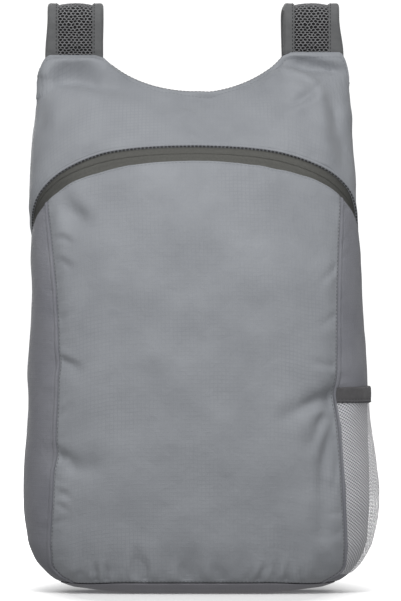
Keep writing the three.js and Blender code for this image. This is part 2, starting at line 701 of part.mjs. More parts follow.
// A place on a strap: its middle, with the directions across it and out of its outer face
function strapFrame(share, side) {
  const at = strapCurve.getPointAt(share);
  const ahead = strapCurve.getTangentAt(share);
  const down = clamp((dropTop.y - at.z) / (dropTop.y - dropEnd.y), 0, 1);
  const behind = at.y > rootY + STRAP_ARCH;
  const spread = mix(strapCentre, strapFoot, behind ? down ** STRAP_SPLAY_POWER : 0);
  at.x = side * spread + lean(at.z);
  return { at, right: new THREE.Vector3(1, 0, 0), face: new THREE.Vector3(0, -ahead.z, ahead.y) };
}
const onFrame = (frame, across, out) => frame.at.clone()
  .addScaledVector(frame.right, across)
  .addScaledVector(frame.face, out);

// Shares of the strap's length for its cross sections, close together round the arch
function strapShares(from, to) {
  const legShare = (archHeight - BODY_HEIGHT + STRAP_TUCK) / strapLength;
  const archShare = Math.PI * STRAP_ARCH / strapLength;
  const marks = [from];
  for (let step = 0; step <= 6; step += 1) marks.push(legShare + archShare * step / 6);
  const rest = legShare + archShare;
  for (let step = 1; step <= 10; step += 1) marks.push(mix(rest, to, step / 10));
  return marks;
}

const coreHalf = STRAP_WIDTH / 2 - BINDING - GAP;
const coreEdge = STRAP_WIDTH / 2 - BINDING_WIDTH - GAP;

function strapCore(side) {
  const marks = [0, tuckShare, ...strapShares(tuckShare * 2.2, endShare), 1];
  const outer = [];
  const inner = [];
  for (const share of marks) {
    const frame = strapFrame(share, side);
    const tongue = share <= tuckShare ? STRAP_TONGUE / 2 : STRAP_CORE / 2;
    const crown = share <= tuckShare || share > endShare - 1e-6 ? 0 : STRAP_CROWN;
    const across = [-coreHalf, -coreEdge, 0, coreEdge, coreHalf];
    const height = [tongue, tongue, tongue + crown, tongue, tongue];
    outer.push(across.map((x, i) => onFrame(frame, x, height[i])));
    inner.push(across.map((x, i) => onFrame(frame, x, -height[i])));
  }
  return wallSolid(outer, inner);
}

// A folded tape round one edge of the core
function edgeBinding(side, edge) {
  const outer = [];
  const inner = [];
  const tip = STRAP_WIDTH / 2;
  const root = tip - BINDING_WIDTH;
  const slack = STRAP_CORE / 2 + GAP;
  const start = tuckShare + (CLOTH + GAP) / strapLength;
  for (const share of strapShares(start, endShare - GAP / strapLength)) {
    const frame = strapFrame(share, side);
    const place = (x, out) => onFrame(frame, edge * x, out);
    outer.push([
      place(root, slack + BINDING), place(tip, slack + BINDING),
      place(tip, -slack - BINDING), place(root, -slack - BINDING),
    ]);
    inner.push([
      place(root, slack), place(tip - BINDING, slack), place(tip - BINDING, -slack), place(root, -slack),
    ]);
  }
  return wallSolid(outer, inner);
}

// The same tape folded round the lower end of the pad
function endBinding(side) {
  const frame = strapFrame(1, side);
  const down = new THREE.Vector3().crossVectors(frame.face, frame.right);
  const slack = STRAP_CORE / 2 + GAP;
  const station = (x) => {
    const place = (along, out) => onFrame(frame, x, out).addScaledVector(down, along);
    return {
      outer: [
        place(-BINDING_WIDTH, slack + BINDING), place(BINDING + GAP, slack + BINDING),
        place(BINDING + GAP, -slack - BINDING), place(-BINDING_WIDTH, -slack - BINDING),
      ],
      inner: [
        place(-BINDING_WIDTH, slack), place(GAP, slack), place(GAP, -slack), place(-BINDING_WIDTH, -slack),
      ],
    };
  };
  const ends = [station(-STRAP_WIDTH / 2), station(STRAP_WIDTH / 2)];
  return wallSolid(ends.map((end) => end.outer), ends.map((end) => end.inner));
}

// Ladder lock: a frame of three bars. The web loop of the pad holds the top bar, and the
// adjusting web comes up behind, turns over the middle bar and hangs down in front.
const padHalf = STRAP_CORE / 2 + GAP + BINDING;
const barTurn = Math.hypot(LOCK_BAR, LOCK_BAR) / 2 + GAP + WEB / 2;
const topBarDrop = BINDING + GAP + 2 * barTurn + LOCK_BAR / 2;
const midBarDrop = topBarDrop + LOCK_BAR + LOCK_SLOT;
const footDrop = midBarDrop + 1.5 * LOCK_BAR + LOCK_SLOT;
const lockHalf = WEB_WIDTH / 2 + LOCK_CLEARANCE + LOCK_RAIL;

function ladderLock(side) {
  const frame = strapFrame(1, side);
  const slotHalf = lockHalf - LOCK_RAIL;
  const plate = (half, top, bottom) => [
    new THREE.Vector2(-half, bottom), new THREE.Vector2(half, bottom),
    new THREE.Vector2(half, top), new THREE.Vector2(-half, top),
  ];
  const shape = new THREE.Shape(plate(lockHalf, LOCK_BAR / 2 - topBarDrop, -footDrop));
  for (const drop of [topBarDrop, midBarDrop]) {
    const slotTop = -drop - LOCK_BAR / 2;
    shape.holes.push(new THREE.Path(plate(slotHalf, slotTop, slotTop - LOCK_SLOT).reverse()));
  }
  const geometry = new THREE.ExtrudeGeometry(shape, { depth: LOCK_BAR, bevelEnabled: false });
  geometry.translate(0, 0, -LOCK_BAR / 2);
  geometry.rotateX(Math.PI / 2);
  return geometry.translate(frame.at.x, frame.at.y, frame.at.z);
}

// A web that follows points in the plane of Y and Z, always level across
function webBand(points, x, shares) {
  const curve = new THREE.CatmullRomCurve3(points, false, 'centripetal');
  return band(shares.map((share) => {
    const at = curve.getPoint(share);
    const ahead = curve.getTangent(share);
    at.x = x;
    return {
      at,
      right: new THREE.Vector3(1, 0, 0),
      face: new THREE.Vector3(0, -ahead.z, ahead.y).normalize(),
      halfWidth: WEB_WIDTH / 2,
      halfThickness: WEB / 2,
    };
  }));
}
const evenShares = (count) => Array.from({ length: count + 1 }, (_, i) => i / count);

function strapLoop(side) {
  const { at } = strapFrame(1, side);
  const out = padHalf + GAP + WEB / 2;
  const barZ = at.z - topBarDrop;
  const points = [
    new THREE.Vector3(0, at.y - out, at.z + LOOP_TAIL),
    new THREE.Vector3(0, at.y - out, at.z - BINDING),
    new THREE.Vector3(0, at.y - barTurn, barZ),
    new THREE.Vector3(0, at.y - barTurn * Math.SQRT1_2, barZ - barTurn * Math.SQRT1_2),
    new THREE.Vector3(0, at.y, barZ - barTurn),
    new THREE.Vector3(0, at.y + barTurn * Math.SQRT1_2, barZ - barTurn * Math.SQRT1_2),
    new THREE.Vector3(0, at.y + barTurn, barZ),
    new THREE.Vector3(0, at.y + out, at.z - BINDING),
    new THREE.Vector3(0, at.y + out, at.z + LOOP_TAIL),
  ];
  return webBand(points, at.x, evenShares(16));
}

// Anchor tab on the lower corner of the back, at a share of the half width
function anchorTab(side) {
  const from = Math.PI - side * backAngle(ANCHOR_SHARE + side * ANCHOR_HALF, ANCHOR_HEIGHT);
  const to = Math.PI - side * backAngle(ANCHOR_SHARE - side * ANCHOR_HALF, ANCHOR_HEIGHT);
  return clothSheet({
    columns: 5,
    rows: 4,
    angle: (across) => mix(from, to, across),
    bottom: () => ANCHOR_HEIGHT - ANCHOR_HEIGHT / 2,
    top: () => ANCHOR_HEIGHT + ANCHOR_HEIGHT / 2,
    lift: () => 1.5 * GAP,
    thickness: -ANCHOR_TAB,
  });
}

function webbing(side) {
  const { at } = strapFrame(1, side);
  const barZ = at.z - midBarDrop;
  const anchorAngle = Math.PI - side * backAngle(ANCHOR_SHARE, ANCHOR_HEIGHT);
  const seat = (z) => {
    const point = skin(anchorAngle, z);
    return point.addScaledVector(outward(anchorAngle, z), 2.5 * GAP + ANCHOR_TAB + WEB / 2);
  };
  const turn = (angle) => new THREE.Vector3(
    at.x, at.y + barTurn * Math.cos(angle), barZ + barTurn * Math.sin(angle));
  const path = [
    new THREE.Vector3(at.x, at.y + barTurn, barZ - WEB_TAIL),
    new THREE.Vector3(at.x, at.y + barTurn, barZ - WEB_TAIL / 2),
    turn(0), turn(Math.PI / 4), turn(Math.PI / 2), turn(3 * Math.PI / 4), turn(Math.PI),
    new THREE.Vector3(at.x, at.y - barTurn, at.z - footDrop),
    seat(2.6 * ANCHOR_HEIGHT).lerp(new THREE.Vector3(at.x, at.y - barTurn, at.z - footDrop), 0.25),
    seat(1.4 * ANCHOR_HEIGHT),
    seat(0.8 * ANCHOR_HEIGHT),
  ];
  const curve = new THREE.CatmullRomCurve3(path, false, 'centripetal');
  const beside = skin(anchorAngle + 2 * ANGLE_STEP, ANCHOR_HEIGHT);
  const skinAcross = skin(anchorAngle - 2 * ANGLE_STEP, ANCHOR_HEIGHT).sub(beside).normalize();
  const stations = evenShares(30).map((share) => {
    const ahead = curve.getTangent(share);
    const twist = smooth(share, 0.72, 0.9);
    const right = new THREE.Vector3(1, 0, 0).lerp(skinAcross, twist);
    right.addScaledVector(ahead, -right.dot(ahead)).normalize();
    return {
      at: curve.getPoint(share),
      right,
      face: new THREE.Vector3().crossVectors(right, ahead).normalize(),
      halfWidth: WEB_WIDTH / 2,
      halfThickness: WEB / 2,
    };
  });
  return band(stations);
}

for (const [label, side] of [['left', -1], ['right', 1]]) {
  addPiece(`strap_mesh_${label}`, strapCore(side), FINISHES.airMesh);
  addPiece(`strap_binding_inner_${label}`, edgeBinding(side, -side), FINISHES.strapTape);
  addPiece(`strap_binding_outer_${label}`, edgeBinding(side, side), FINISHES.strapTape);
  addPiece(`strap_end_${label}`, endBinding(side), FINISHES.strapTape);
  addPiece(`strap_loop_${label}`, strapLoop(side), FINISHES.web);
  addPiece(`ladder_lock_${label}`, ladderLock(side), FINISHES.buckle);
  addPiece(`webbing_${label}`, webbing(side), FINISHES.web);
  addPiece(`anchor_tab_${label}`, anchorTab(side), FINISHES.sideCloth);
}

export default backpack;
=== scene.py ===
"""The looks of a light packable day backpack in grey ripstop nylon, standing on its flat base,
zipped shut, with a net pocket on one side and two padded straps that rise behind the neck."""
import math

import bmesh
import bpy
import numpy as np
from mathutils import Matrix, Vector


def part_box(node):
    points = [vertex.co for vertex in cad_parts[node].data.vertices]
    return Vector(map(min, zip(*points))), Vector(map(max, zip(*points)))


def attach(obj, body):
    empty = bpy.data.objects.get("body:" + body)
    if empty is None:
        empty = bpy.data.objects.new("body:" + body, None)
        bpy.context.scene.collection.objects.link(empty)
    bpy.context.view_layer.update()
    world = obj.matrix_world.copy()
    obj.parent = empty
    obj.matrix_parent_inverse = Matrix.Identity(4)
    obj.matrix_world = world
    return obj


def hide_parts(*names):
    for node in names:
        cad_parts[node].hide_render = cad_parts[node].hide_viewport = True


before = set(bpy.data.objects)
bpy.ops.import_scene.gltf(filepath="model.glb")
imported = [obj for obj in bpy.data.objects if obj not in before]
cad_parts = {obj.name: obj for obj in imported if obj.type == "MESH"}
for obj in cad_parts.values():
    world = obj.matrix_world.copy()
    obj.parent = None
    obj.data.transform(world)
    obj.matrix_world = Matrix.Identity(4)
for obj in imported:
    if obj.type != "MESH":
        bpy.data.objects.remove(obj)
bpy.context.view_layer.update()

# Camera. The bag was photographed from straight ahead through a long lens, a little under half
# its height above the floor, and stands slightly left of the picture's middle. Metres here.
VIEW_DISTANCE = 5.0
VIEW_HEIGHT = 0.2270
PICTURE_HEIGHT = 0.470
PICTURE_CENTRE_X = 0.0021
FILM_HEIGHT = 24.0

lens = bpy.data.cameras.new("camera")
lens.sensor_fit = "VERTICAL"
lens.sensor_height = FILM_HEIGHT
lens.lens = FILM_HEIGHT * VIEW_DISTANCE / PICTURE_HEIGHT
lens.clip_end = 50
camera = bpy.data.objects.new("camera", lens)
camera.location = (PICTURE_CENTRE_X, -VIEW_DISTANCE, VIEW_HEIGHT)
camera.rotation_euler = (math.pi / 2, 0, 0)
bpy.context.scene.collection.objects.link(camera)
bpy.context.scene.camera = camera

# Front panel. One full piece of silicone-coated ripstop nylon, sewn to the side panels, to the
# base and to the zip. Thin and slack, it is drawn in at its seams and swells between them.
# Lengths in this file are millimetres until a mesh is made.
BODY_HEIGHT = 420.0
BODY_WIDTH = 272.0
FRONT_DEPTH = 68.0
BACK_DEPTH = 52.0
TOP_SET_BACK = 28.5
TOP_LEAN = 3.5
CLOTH_ROOM = 1.2
GAP = 0.35
BASE_LIP = 8.0
CORNER_LIFT = 4.6            # the lower corners hang clear of the floor by about this much
NECK_DROP = 28.0
TOP_CORNER_WIDTH = 9.5
TOP_CORNER_DROP = 22.0
TOP_TAPER = 75.0
RIGHT_SHOULDER_RISE = 2.3
RIGHT_CORNER_SHARE = 0.75    # the right shoulder's corner is narrower than the left's
NECK_SLACK = 0.7             # how far the neck's edge hangs below the line it was cut to,
NECK_SLACK_RIGHT = 1.1       # and how much further on either side
NECK_SLACK_LEFT = 1.4
STRAP_WIDTH = 44.0
STRAP_SIDE_MARGIN = 6.6
STRAP_TONGUE = 2.0
ZIP_APEX = 342.5
ZIP_DROP = 64.0
ZIP_OPEN = 6.5
ZIP_SAG = 1.1
ZIP_PULL_LEFT = 3.3          # how far the yoke closes over the zip's left end,
ZIP_PULL_RIGHT = 3.2         # and the front over its right end
GATHER_WAVE = 26.0
GATHER_LIFT = 1.4
SEAM_DRAW = 1.6
SEAM_DRAW_WIDTH = 7.0
POCKET_BOTTOM = 12.0
POCKET_TOP = 160.0
POCKET_PRESS = 2.4

# Height up the body, then its half width, its depths before and behind, how far its middle is
# set back, how square its plan is, and where the side seams lie, all as shares
SECTIONS = dict(
    up=[0, .008, .022, .040, .064, .098, .190, .357, .543, .636, .729, .824, .917, 1],
    wide=[.724, .794, .860, .901, .941, .978, 1, .979, .949, .945, .938, .929, .906, .893],
    front=[.559, .676, .779, .846, .897, .949, 1, 1, .919, .853, .765, .662, .529, .412],
    back=[.731, .827, .904, .942, .962, .981, .990, 1, .962, .885, .731, .519, .269, .115],
    middle=[0, 0, 0, 0, 0, 0, 0, 0, .03, .14, .35, .60, .84, 1],
    front_power=[3.6, 3.5, 3.4, 3.2, 3.1, 3, 3, 3, 2.9, 2.8, 2.7, 2.5, 2.4, 2.4],
    back_power=[4, 4, 4.2, 4.4, 4.6, 4.6, 4.6, 4.6, 4.5, 4.2, 3.8, 3.4, 3, 2.6],
    front_seam=[.9, .9, .915, .925, .9, .87, .835, .826, .857, .88, .905, .905, .905, .905],
    back_seam=[.93, .93, .93, .93, .93, .93, .93, .93, .945, .965, .98, .99, 1, 1],
)

# Broad folds of the front: both ends as shares of half the width and of the height, then their
# width and lift in millimetres
BROAD_FOLDS = [
    (0.58, 0.985, 0.86, 0.965, 9.0, -3.4),
    (0.52, 0.980, 0.72, 0.935, 10.0, 1.8),
    (0.72, 0.930, 0.80, 0.840, 9.0, -2.0),
    (-0.76, 0.975, -0.52, 0.972, 10.0, -2.2),
    (-0.16, 0.885, 0.02, 0.850, 8.0, 1.0),
    (-0.76, 0.738, -0.66, 0.700, 8.0, -2.4),
    (-0.82, 0.255, -0.62, 0.235, 9.0, -2.6),
    (-0.82, 0.425, -0.70, 0.415, 7.0, -1.6),
    (0.80, 0.375, 0.52, 0.328, 8.5, -3.0),
    (0.80, 0.360, 0.66, 0.280, 8.0, -2.4),
    (0.80, 0.340, 0.71, 0.110, 8.0, -1.8),
    (0.62, 0.300, 0.70, 0.180, 10.0, 1.6),
]


def ease(value, low, high):
    t = np.clip((value - low) / (high - low), 0, 1)
    return t * t * (3 - 2 * t)


def hump(away, width):
    """A soft bell, one at its middle, which falls away over that width."""
    return np.exp(-((away / width) ** 2))


def lengths_along(line):
    """How far each point of a line lies from its start."""
    return np.append(0, np.cumsum(np.linalg.norm(np.diff(line, axis=0), axis=1)))


def section(name, z):
    """One column of the sections at any height, on a cubic that never passes the rows' values."""
    at, value = np.array(SECTIONS["up"]), np.array(SECTIONS[name])
    rise = np.diff(value) / np.diff(at)
    before, after = np.append(rise[0], rise), np.append(rise, rise[-1])
    total = np.where(before * after > 0, before + after, 1)
    slope = np.where(before * after > 0, 2 * before * after / total, 0)
    place = np.clip(np.asarray(z, float) / BODY_HEIGHT, 0, 1)
    row = np.clip(np.searchsorted(at, place, side="left") - 1, 0, len(rise) - 1)
    span = at[row + 1] - at[row]
    t = (place - at[row]) / span
    return (value[row] * (2 * t**3 - 3 * t**2 + 1) + value[row + 1] * (3 * t**2 - 2 * t**3)
            + span * (slope[row] * (t**3 - 2 * t**2 + t) + slope[row + 1] * (t**3 - t**2)))


half_width = BODY_WIDTH / 2
top_half_width = half_width * float(section("wide", BODY_HEIGHT))
strap_centre = top_half_width - STRAP_SIDE_MARGIN - STRAP_WIDTH / 2
neck_half_width = strap_centre - STRAP_WIDTH / 2 - GAP
neck_radius = (neck_half_width**2 + NECK_DROP**2) / (2 * NECK_DROP)


def hem_line(across):
    """Height of the top hem: a scooped neck between two level shoulders with rounded corners."""
    x = np.abs(across) * top_half_width
    scoop = np.sqrt(neck_radius**2 - np.minimum(x, neck_half_width) ** 2)
    corner_share = np.where(across > 0, RIGHT_CORNER_SHARE, 1)
    past = np.clip((x - top_half_width) / corner_share / TOP_CORNER_WIDTH + 1, 0, 1)
    corner = BODY_HEIGHT - TOP_CORNER_DROP * (1 - np.sqrt(1 - past**2))
    hem = np.where(x < neck_half_width, BODY_HEIGHT - NECK_DROP + neck_radius - scoop, corner)
    slack = (NECK_SLACK + NECK_SLACK_RIGHT * ease(across, 0.02, 0.12)
             + NECK_SLACK_LEFT * ease(-across, 0.1, 0.55))
    slack *= 1 - ease(np.abs(across), 0.57, 0.65)
    return hem - slack + RIGHT_SHOULDER_RISE * ease(across, 0.50, 0.63)


def hem_room(across):
    """Room that the hem leaves for what is sewn into it, which is more at the straps."""
    x = np.abs(across) * top_half_width
    start = neck_half_width - STRAP_WIDTH / 4
    part = ease(x, start - STRAP_WIDTH / 4, start)
    return GAP / 2 + (STRAP_TONGUE / 2 + GAP / 2) * part


def lean(z):
    return -TOP_LEAN * ease(z, 0.45 * BODY_HEIGHT, 0.82 * BODY_HEIGHT)


def body_middle(z):
    return TOP_SET_BACK * section("middle", z)


def plan_shares(angle, z):
    """Shares of the half width and of the depth that the plan reaches at an angle."""
    power = np.where(np.cos(angle) >= 0, section("front_power", z), section("back_power", z))
    wide, deep = np.abs(np.sin(angle)), np.abs(np.cos(angle))
    reach = (wide**power + deep**power) ** (1 / power)
    return np.sin(angle) / reach, deep / reach


def corner_angle(share, power):
    return np.arctan2(share, np.maximum(1 - share**power, 0) ** (1 / power))


def front_angle(share, z):
    return corner_angle(share, section("front_power", z))


def back_angle(share, z):
    return corner_angle(share, section("back_power", z))


def front_seam(z):
    return front_angle(section("front_seam", z), z)


def back_seam(z):
    return math.pi - back_angle(section("back_seam", z), z)


def broad_relief(angle, z):
    """Lift of the broad folds, of the gathers above the base and of the drawn-in side seams."""
    across, deep = plan_shares(angle, z)
    wide = half_width * section("wide", z)
    x = across * wide
    near = ease(deep, 0.1, 0.6)
    lift = np.zeros_like(x)
    for x0, up0, x1, up1, width, height in BROAD_FOLDS:
        start = np.array([x0 * half_width, up0 * BODY_HEIGHT])
        run = np.array([x1 * half_width, up1 * BODY_HEIGHT]) - start
        share = np.clip(((x - start[0]) * run[0] + (z - start[1]) * run[1]) / (run @ run), 0, 1)
        away = np.hypot(x - start[0] - share * run[0], z - start[1] - share * run[1])
        lift += near * height * hump(away, width)
    wave = np.sin(2 * math.pi * x / GATHER_WAVE) * np.cos(1.7 * x / GATHER_WAVE)
    lift += GATHER_LIFT * near * wave * ease(z, 8, 16) * (1 - ease(z, 16, 42))
    seam = section("front_seam", z) * wide
    below_zip = 1 - ease(z, ZIP_APEX - ZIP_DROP, ZIP_APEX)
    lift -= SEAM_DRAW * below_zip * hump(np.abs(x) - seam, SEAM_DRAW_WIDTH)
    lift = np.where(np.cos(angle) >= 0, lift, 0)
    turn = np.clip((angle - front_seam(z)) / (back_seam(z) - front_seam(z)), 0, 1)
    high = np.clip((z - POCKET_BOTTOM) / (POCKET_TOP - POCKET_BOTTOM), 0, 1)
    press = POCKET_PRESS * np.sin(math.pi * turn) * np.sin(math.pi * high)
    return lift - np.where(across > 0, press, 0)


def skin(angle, z):
    """A point of the body's outer skin, at an angle round it and a height."""
    angle, z = np.broadcast_arrays(np.asarray(angle, float), np.asarray(z, float))
    across, deep = plan_shares(angle, z)
    below = np.clip((hem_line(across) - z) / TOP_TAPER, 0, 1)
    fullness = np.sin(below * math.pi / 2) ** 0.85
    is_front = np.cos(angle) >= 0
    depth = np.where(is_front, FRONT_DEPTH * section("front", z), BACK_DEPTH * section("back", z))
    hem = (hem_room(across) + CLOTH_ROOM) * np.minimum(1, deep / 0.3) * (1 - fullness)
    out = broad_relief(angle, z) * ease(below, 0, 0.12)
    x = lean(z) + half_width * section("wide", z) * across + out * np.sin(angle)
    y = body_middle(z) + np.where(is_front, -1, 1) * (hem + depth * deep * fullness)
    corner = CORNER_LIFT * ease(np.abs(x), 45, 112) * (1 - ease(z, 2, 27))
    return np.stack([x, y - out * np.cos(angle), z + corner], -1)


def unit(vectors):
    return vectors / np.maximum(np.linalg.norm(vectors, axis=-1, keepdims=True), 1e-12)


def outward(angle, z):
    round_skin = skin(angle + 0.01, z) - skin(angle - 0.01, z)
    return unit(np.cross(round_skin, skin(angle, z + 0.5) - skin(angle, z - 0.5)))


def meet(angle_at, height_at):
    """The height at which columns, whose angles depend on their height, meet an edge line."""
    z = ZIP_APEX
    for _ in range(14):
        z = height_at(angle_at(z), z)
    return z


def base_seam(angle_at):
    """Height of the seam with the base, which dips towards the lower corners."""
    def seam(across):
        reach = np.abs(plan_shares(angle_at(across, BASE_LIP + 0 * across), BASE_LIP)[0])
        return BASE_LIP * (1 - 0.6 * ease(reach, 0.42, 0.92))
    return seam


def zip_fall(angle, z):
    """The zip falls from its apex at the front as the skin turns away to the sides and back."""
    _, deep = plan_shares(angle, z)
    turned = np.where(np.cos(angle) >= 0, 1 - deep, 1 + 0.75 * deep)
    return ZIP_APEX - ZIP_DROP * turned**0.92


def zip_height(angle):
    return meet(lambda z: angle, zip_fall)


def beside_zip(angle, offset):
    """Height of a line that runs so many millimetres above the zip's middle."""
    z = zip_height(angle)
    run = np.linalg.norm(skin(angle + 0.03, z) - skin(angle - 0.03, z), axis=-1)
    climb = (zip_height(angle + 0.03) - zip_height(angle - 0.03)) / run
    rise = np.linalg.norm(skin(angle, z + 0.5) - skin(angle, z - 0.5), axis=-1)
    return z + offset * np.sqrt(1 + climb**2) / rise


def zip_cloth_edge(angle, z):
    """The slightly uneven folded edge of the cloth below the zip, pulled over it at the right."""
    uneven = 0.3 * soft_noise(angle * 110, 0 * angle, 9, 7)
    pulled = ZIP_PULL_RIGHT * ease(plan_shares(angle, z)[0], 0.35, 0.95)
    pulled *= ease(np.cos(angle), -0.05, 0.3)
    return beside_zip(angle, -ZIP_OPEN - ZIP_SAG + uneven + pulled)


def zip_yoke_edge(angle, z):
    """The folded edge of the yoke above the zip, pulled over it at the left."""
    pulled = ZIP_PULL_LEFT * ease(-plan_shares(angle, z)[0], 0.5, 1.02)
    pulled *= ease(np.cos(angle), -0.05, 0.3)
    return beside_zip(angle, ZIP_OPEN - pulled)


def front_panel_angle(across, z):
    place = 2 * across - 1
    return np.sign(place) * front_angle(np.abs(place) * section("front_seam", z), z)


# Cloth is drawn on a grid of rows and columns that lie close together along its edges, where
# it is folded and sewn
EDGE_STEPS = [0, 0.25, 0.5, 0.8, 1.1, 1.5, 1.9, 2.3, 2.8, 3.3, 3.9, 4.7, 5.8]


def edge_spaced(length, pitch):
    """Shares of a length, close together at both ends and a pitch apart between them."""
    half = np.append(EDGE_STEPS, np.arange(EDGE_STEPS[-1] + pitch, length / 2, pitch))
    half = half[half < length / 2 - pitch / 2]
    return np.concatenate([half, [length / 2], length - half[::-1]]) / length


def patch(columns, rows, angle_at, bottom, top):
    """A patch of the skin: its points, their outward directions and distances from the edges."""
    low, high = bottom(columns), top(columns)
    z = low + (high - low) * rows[:, None]
    angle = angle_at(columns + 0 * z, z)
    points = skin(angle, z)
    return measured(points)


def measured(points):
    wide_step = np.linalg.norm(np.diff(points, axis=1), axis=-1)
    high_step = np.linalg.norm(np.diff(points, axis=0), axis=-1)
    left = np.pad(np.cumsum(wide_step, 1), ((0, 0), (1, 0)))
    bottom = np.pad(np.cumsum(high_step, 0), ((1, 0), (0, 0)))
    normal = unit(np.cross(np.gradient(points, axis=1), np.gradient(points, axis=0)))
    return dict(points=points, normal=normal, left=left, right=left[:, -1:] - left,
                bottom=bottom, top=bottom[-1:] - bottom)


def from_edges(cloth):
    """Every point's distance from the nearest edge of its patch."""
    return np.minimum(np.minimum(cloth["left"], cloth["right"]),
                      np.minimum(cloth["bottom"], cloth["top"]))


def thread_lines(cloth):
    """Distances along the weft and the warp, which the weave and the ripstop squares follow."""
    centre = cloth["left"].shape[1] // 2
    weft = cloth["left"] - cloth["left"][:, centre:centre + 1]
    return np.stack([weft, cloth["bottom"], 0 * weft], -1)


def soft_noise(u, v, size, seed):
    """Smooth unevenness of that size in millimetres, between -1 and 1."""
    lattice = np.random.default_rng(seed).uniform(-1, 1, (64, 64))
    x, y = u / size, v / size
    i, j = np.floor(x).astype(int), np.floor(y).astype(int)
    fx, fy = x - i, y - j
    wx, wy = fx**3 * (fx * (6 * fx - 15) + 10), fy**3 * (fy * (6 * fy - 15) + 10)
    low = lattice[i % 64, j % 64] * (1 - wx) + lattice[(i + 1) % 64, j % 64] * wx
    high = lattice[i % 64, (j + 1) % 64] * (1 - wx) + lattice[(i + 1) % 64, (j + 1) % 64] * wx
    return low * (1 - wy) + high * wy


def crease_lift(u, v, creases):
    """Lift of creases: each a bent stroke, deepest near its start, with a soft ridge beside it."""
    lift = np.zeros_like(u)
    for u0, v0, u1, v1, bend, width, height, start in creases:
        begin, end = np.array([u0, v0]), np.array([u1, v1])
        square = np.array([v0 - v1, u1 - u0])
        t = np.linspace(0, 1, 9)[:, None]
        line = (1 - t) * begin + t * end + 4 * t * (1 - t) * bend * square
        reach = 4 * width
        near = ((u > line[:, 0].min() - reach) & (u < line[:, 0].max() + reach)
                & (v > line[:, 1].min() - reach) & (v < line[:, 1].max() + reach))
        if not near.any():
            continue
        place = np.stack([u[near], v[near]], -1)
        best = np.full(len(place), 1e9)
        side, along = np.zeros(len(place)), np.zeros(len(place))
        for k in range(8):
            run = line[k + 1] - line[k]
            share = np.clip((place - line[k]) @ run / (run @ run), 0, 1)
            gap = place - line[k] - share[:, None] * run
            away = np.hypot(gap[:, 0], gap[:, 1])
            closer = away < best
            turn = run[0] * gap[:, 1] - run[1] * gap[:, 0]
            best = np.where(closer, away, best)
            side = np.where(closer, np.where(turn < 0, -away, away), side)
            along = np.where(closer, (k + share) / 8, along)
        fade = (start + (1 - start) * ease(along, 0, 0.35)) * (1 - ease(along, 0.4, 1))
        ridge = -0.5 * hump(side - 1.8 * width, 1.2 * width)
        lift[near] += height * fade * (hump(side, width) + ridge)
    return lift


def seam_puckers(line, into, seed, spacing, reach, depth):
    """Short creases that a drawn-in seam leaves in thin cloth, at uneven places along it."""
    dice = np.random.default_rng(seed)
    gone = lengths_along(line)
    made, place = [], dice.uniform(0.3, 1) * spacing
    while place < gone[-1]:
        start = np.array([np.interp(place, gone, line[:, k]) for k in (0, 1)])
        way = np.array([np.interp(place, gone, into[:, k]) for k in (0, 1)])
        tilt = dice.normal(0, 0.38)
        way = np.array([way[0] * math.cos(tilt) - way[1] * math.sin(tilt),
                        way[0] * math.sin(tilt) + way[1] * math.cos(tilt)])
        size = dice.uniform(0.35, 1) ** 1.5
        end = start + way * reach * (0.35 + size)
        made.append((*start, *end, dice.normal(0, 0.06), 1.2 + 2.0 * size,
                     -depth * size * dice.choice([1, 1, -0.6]), 1.0))
        place += spacing * dice.uniform(0.45, 1.6)
    return made


def panel_puckers(cloth, seed, beside, above):
    """Puckers of a panel along both its side seams and its base seam: spacing, reach, depth."""
    u, v = cloth["left"], cloth["bottom"]
    made = []
    for take, way, how in ((np.s_[:, 0], (1.0, 0.0), beside), (np.s_[:, -1], (-1.0, 0.0), beside),
                           (np.s_[0], (0.0, 1.0), above)):
        line = np.stack([u[take], v[take]], -1)
        made += seam_puckers(line, np.tile(way, (len(line), 1)), seed, *how)
        seed += 1
    return made


def wall(outer, normal, thickness, ring=False):
    """Vertices and faces of a closed wall of cloth under a grid of points."""
    rows, columns = outer.shape[:2]
    index = np.arange(rows * columns).reshape(rows, columns)
    if ring:
        index = np.hstack([index, index[:, :1]])
    under = index + rows * columns
    face = np.stack([index[:-1, :-1], index[:-1, 1:], index[1:, 1:], index[1:, :-1]], -1)
    faces = [face.reshape(-1, 4), face.reshape(-1, 4)[:, ::-1] + rows * columns]
    faces.append(np.stack([index[0, :-1], under[0, :-1], under[0, 1:], index[0, 1:]], -1))
    faces.append(np.stack([index[-1, 1:], under[-1, 1:], under[-1, :-1], index[-1, :-1]], -1))
    if not ring:
        faces.append(np.stack([index[:-1, 0], index[1:, 0], under[1:, 0], under[:-1, 0]], -1))
        faces.append(np.stack([index[1:, -1], index[:-1, -1], under[:-1, -1], under[1:, -1]], -1))
    inner = outer - normal * thickness
    return np.concatenate([outer.reshape(-1, 3), inner.reshape(-1, 3)]), np.concatenate(faces)


def facing_out(vertices, faces):
    """Faces of closed walls, turned so that they all face outwards."""
    vertices, faces = np.asarray(vertices), np.asarray(faces)
    corner = vertices[faces[:, :4]] - vertices.mean(0)
    volume = 0.0
    for a, b, c in ((0, 1, 2), (0, 2, 3)):
        volume += np.sum(corner[:, a] * np.cross(corner[:, b], corner[:, c]))
    return faces if volume > 0 else faces[:, ::-1]


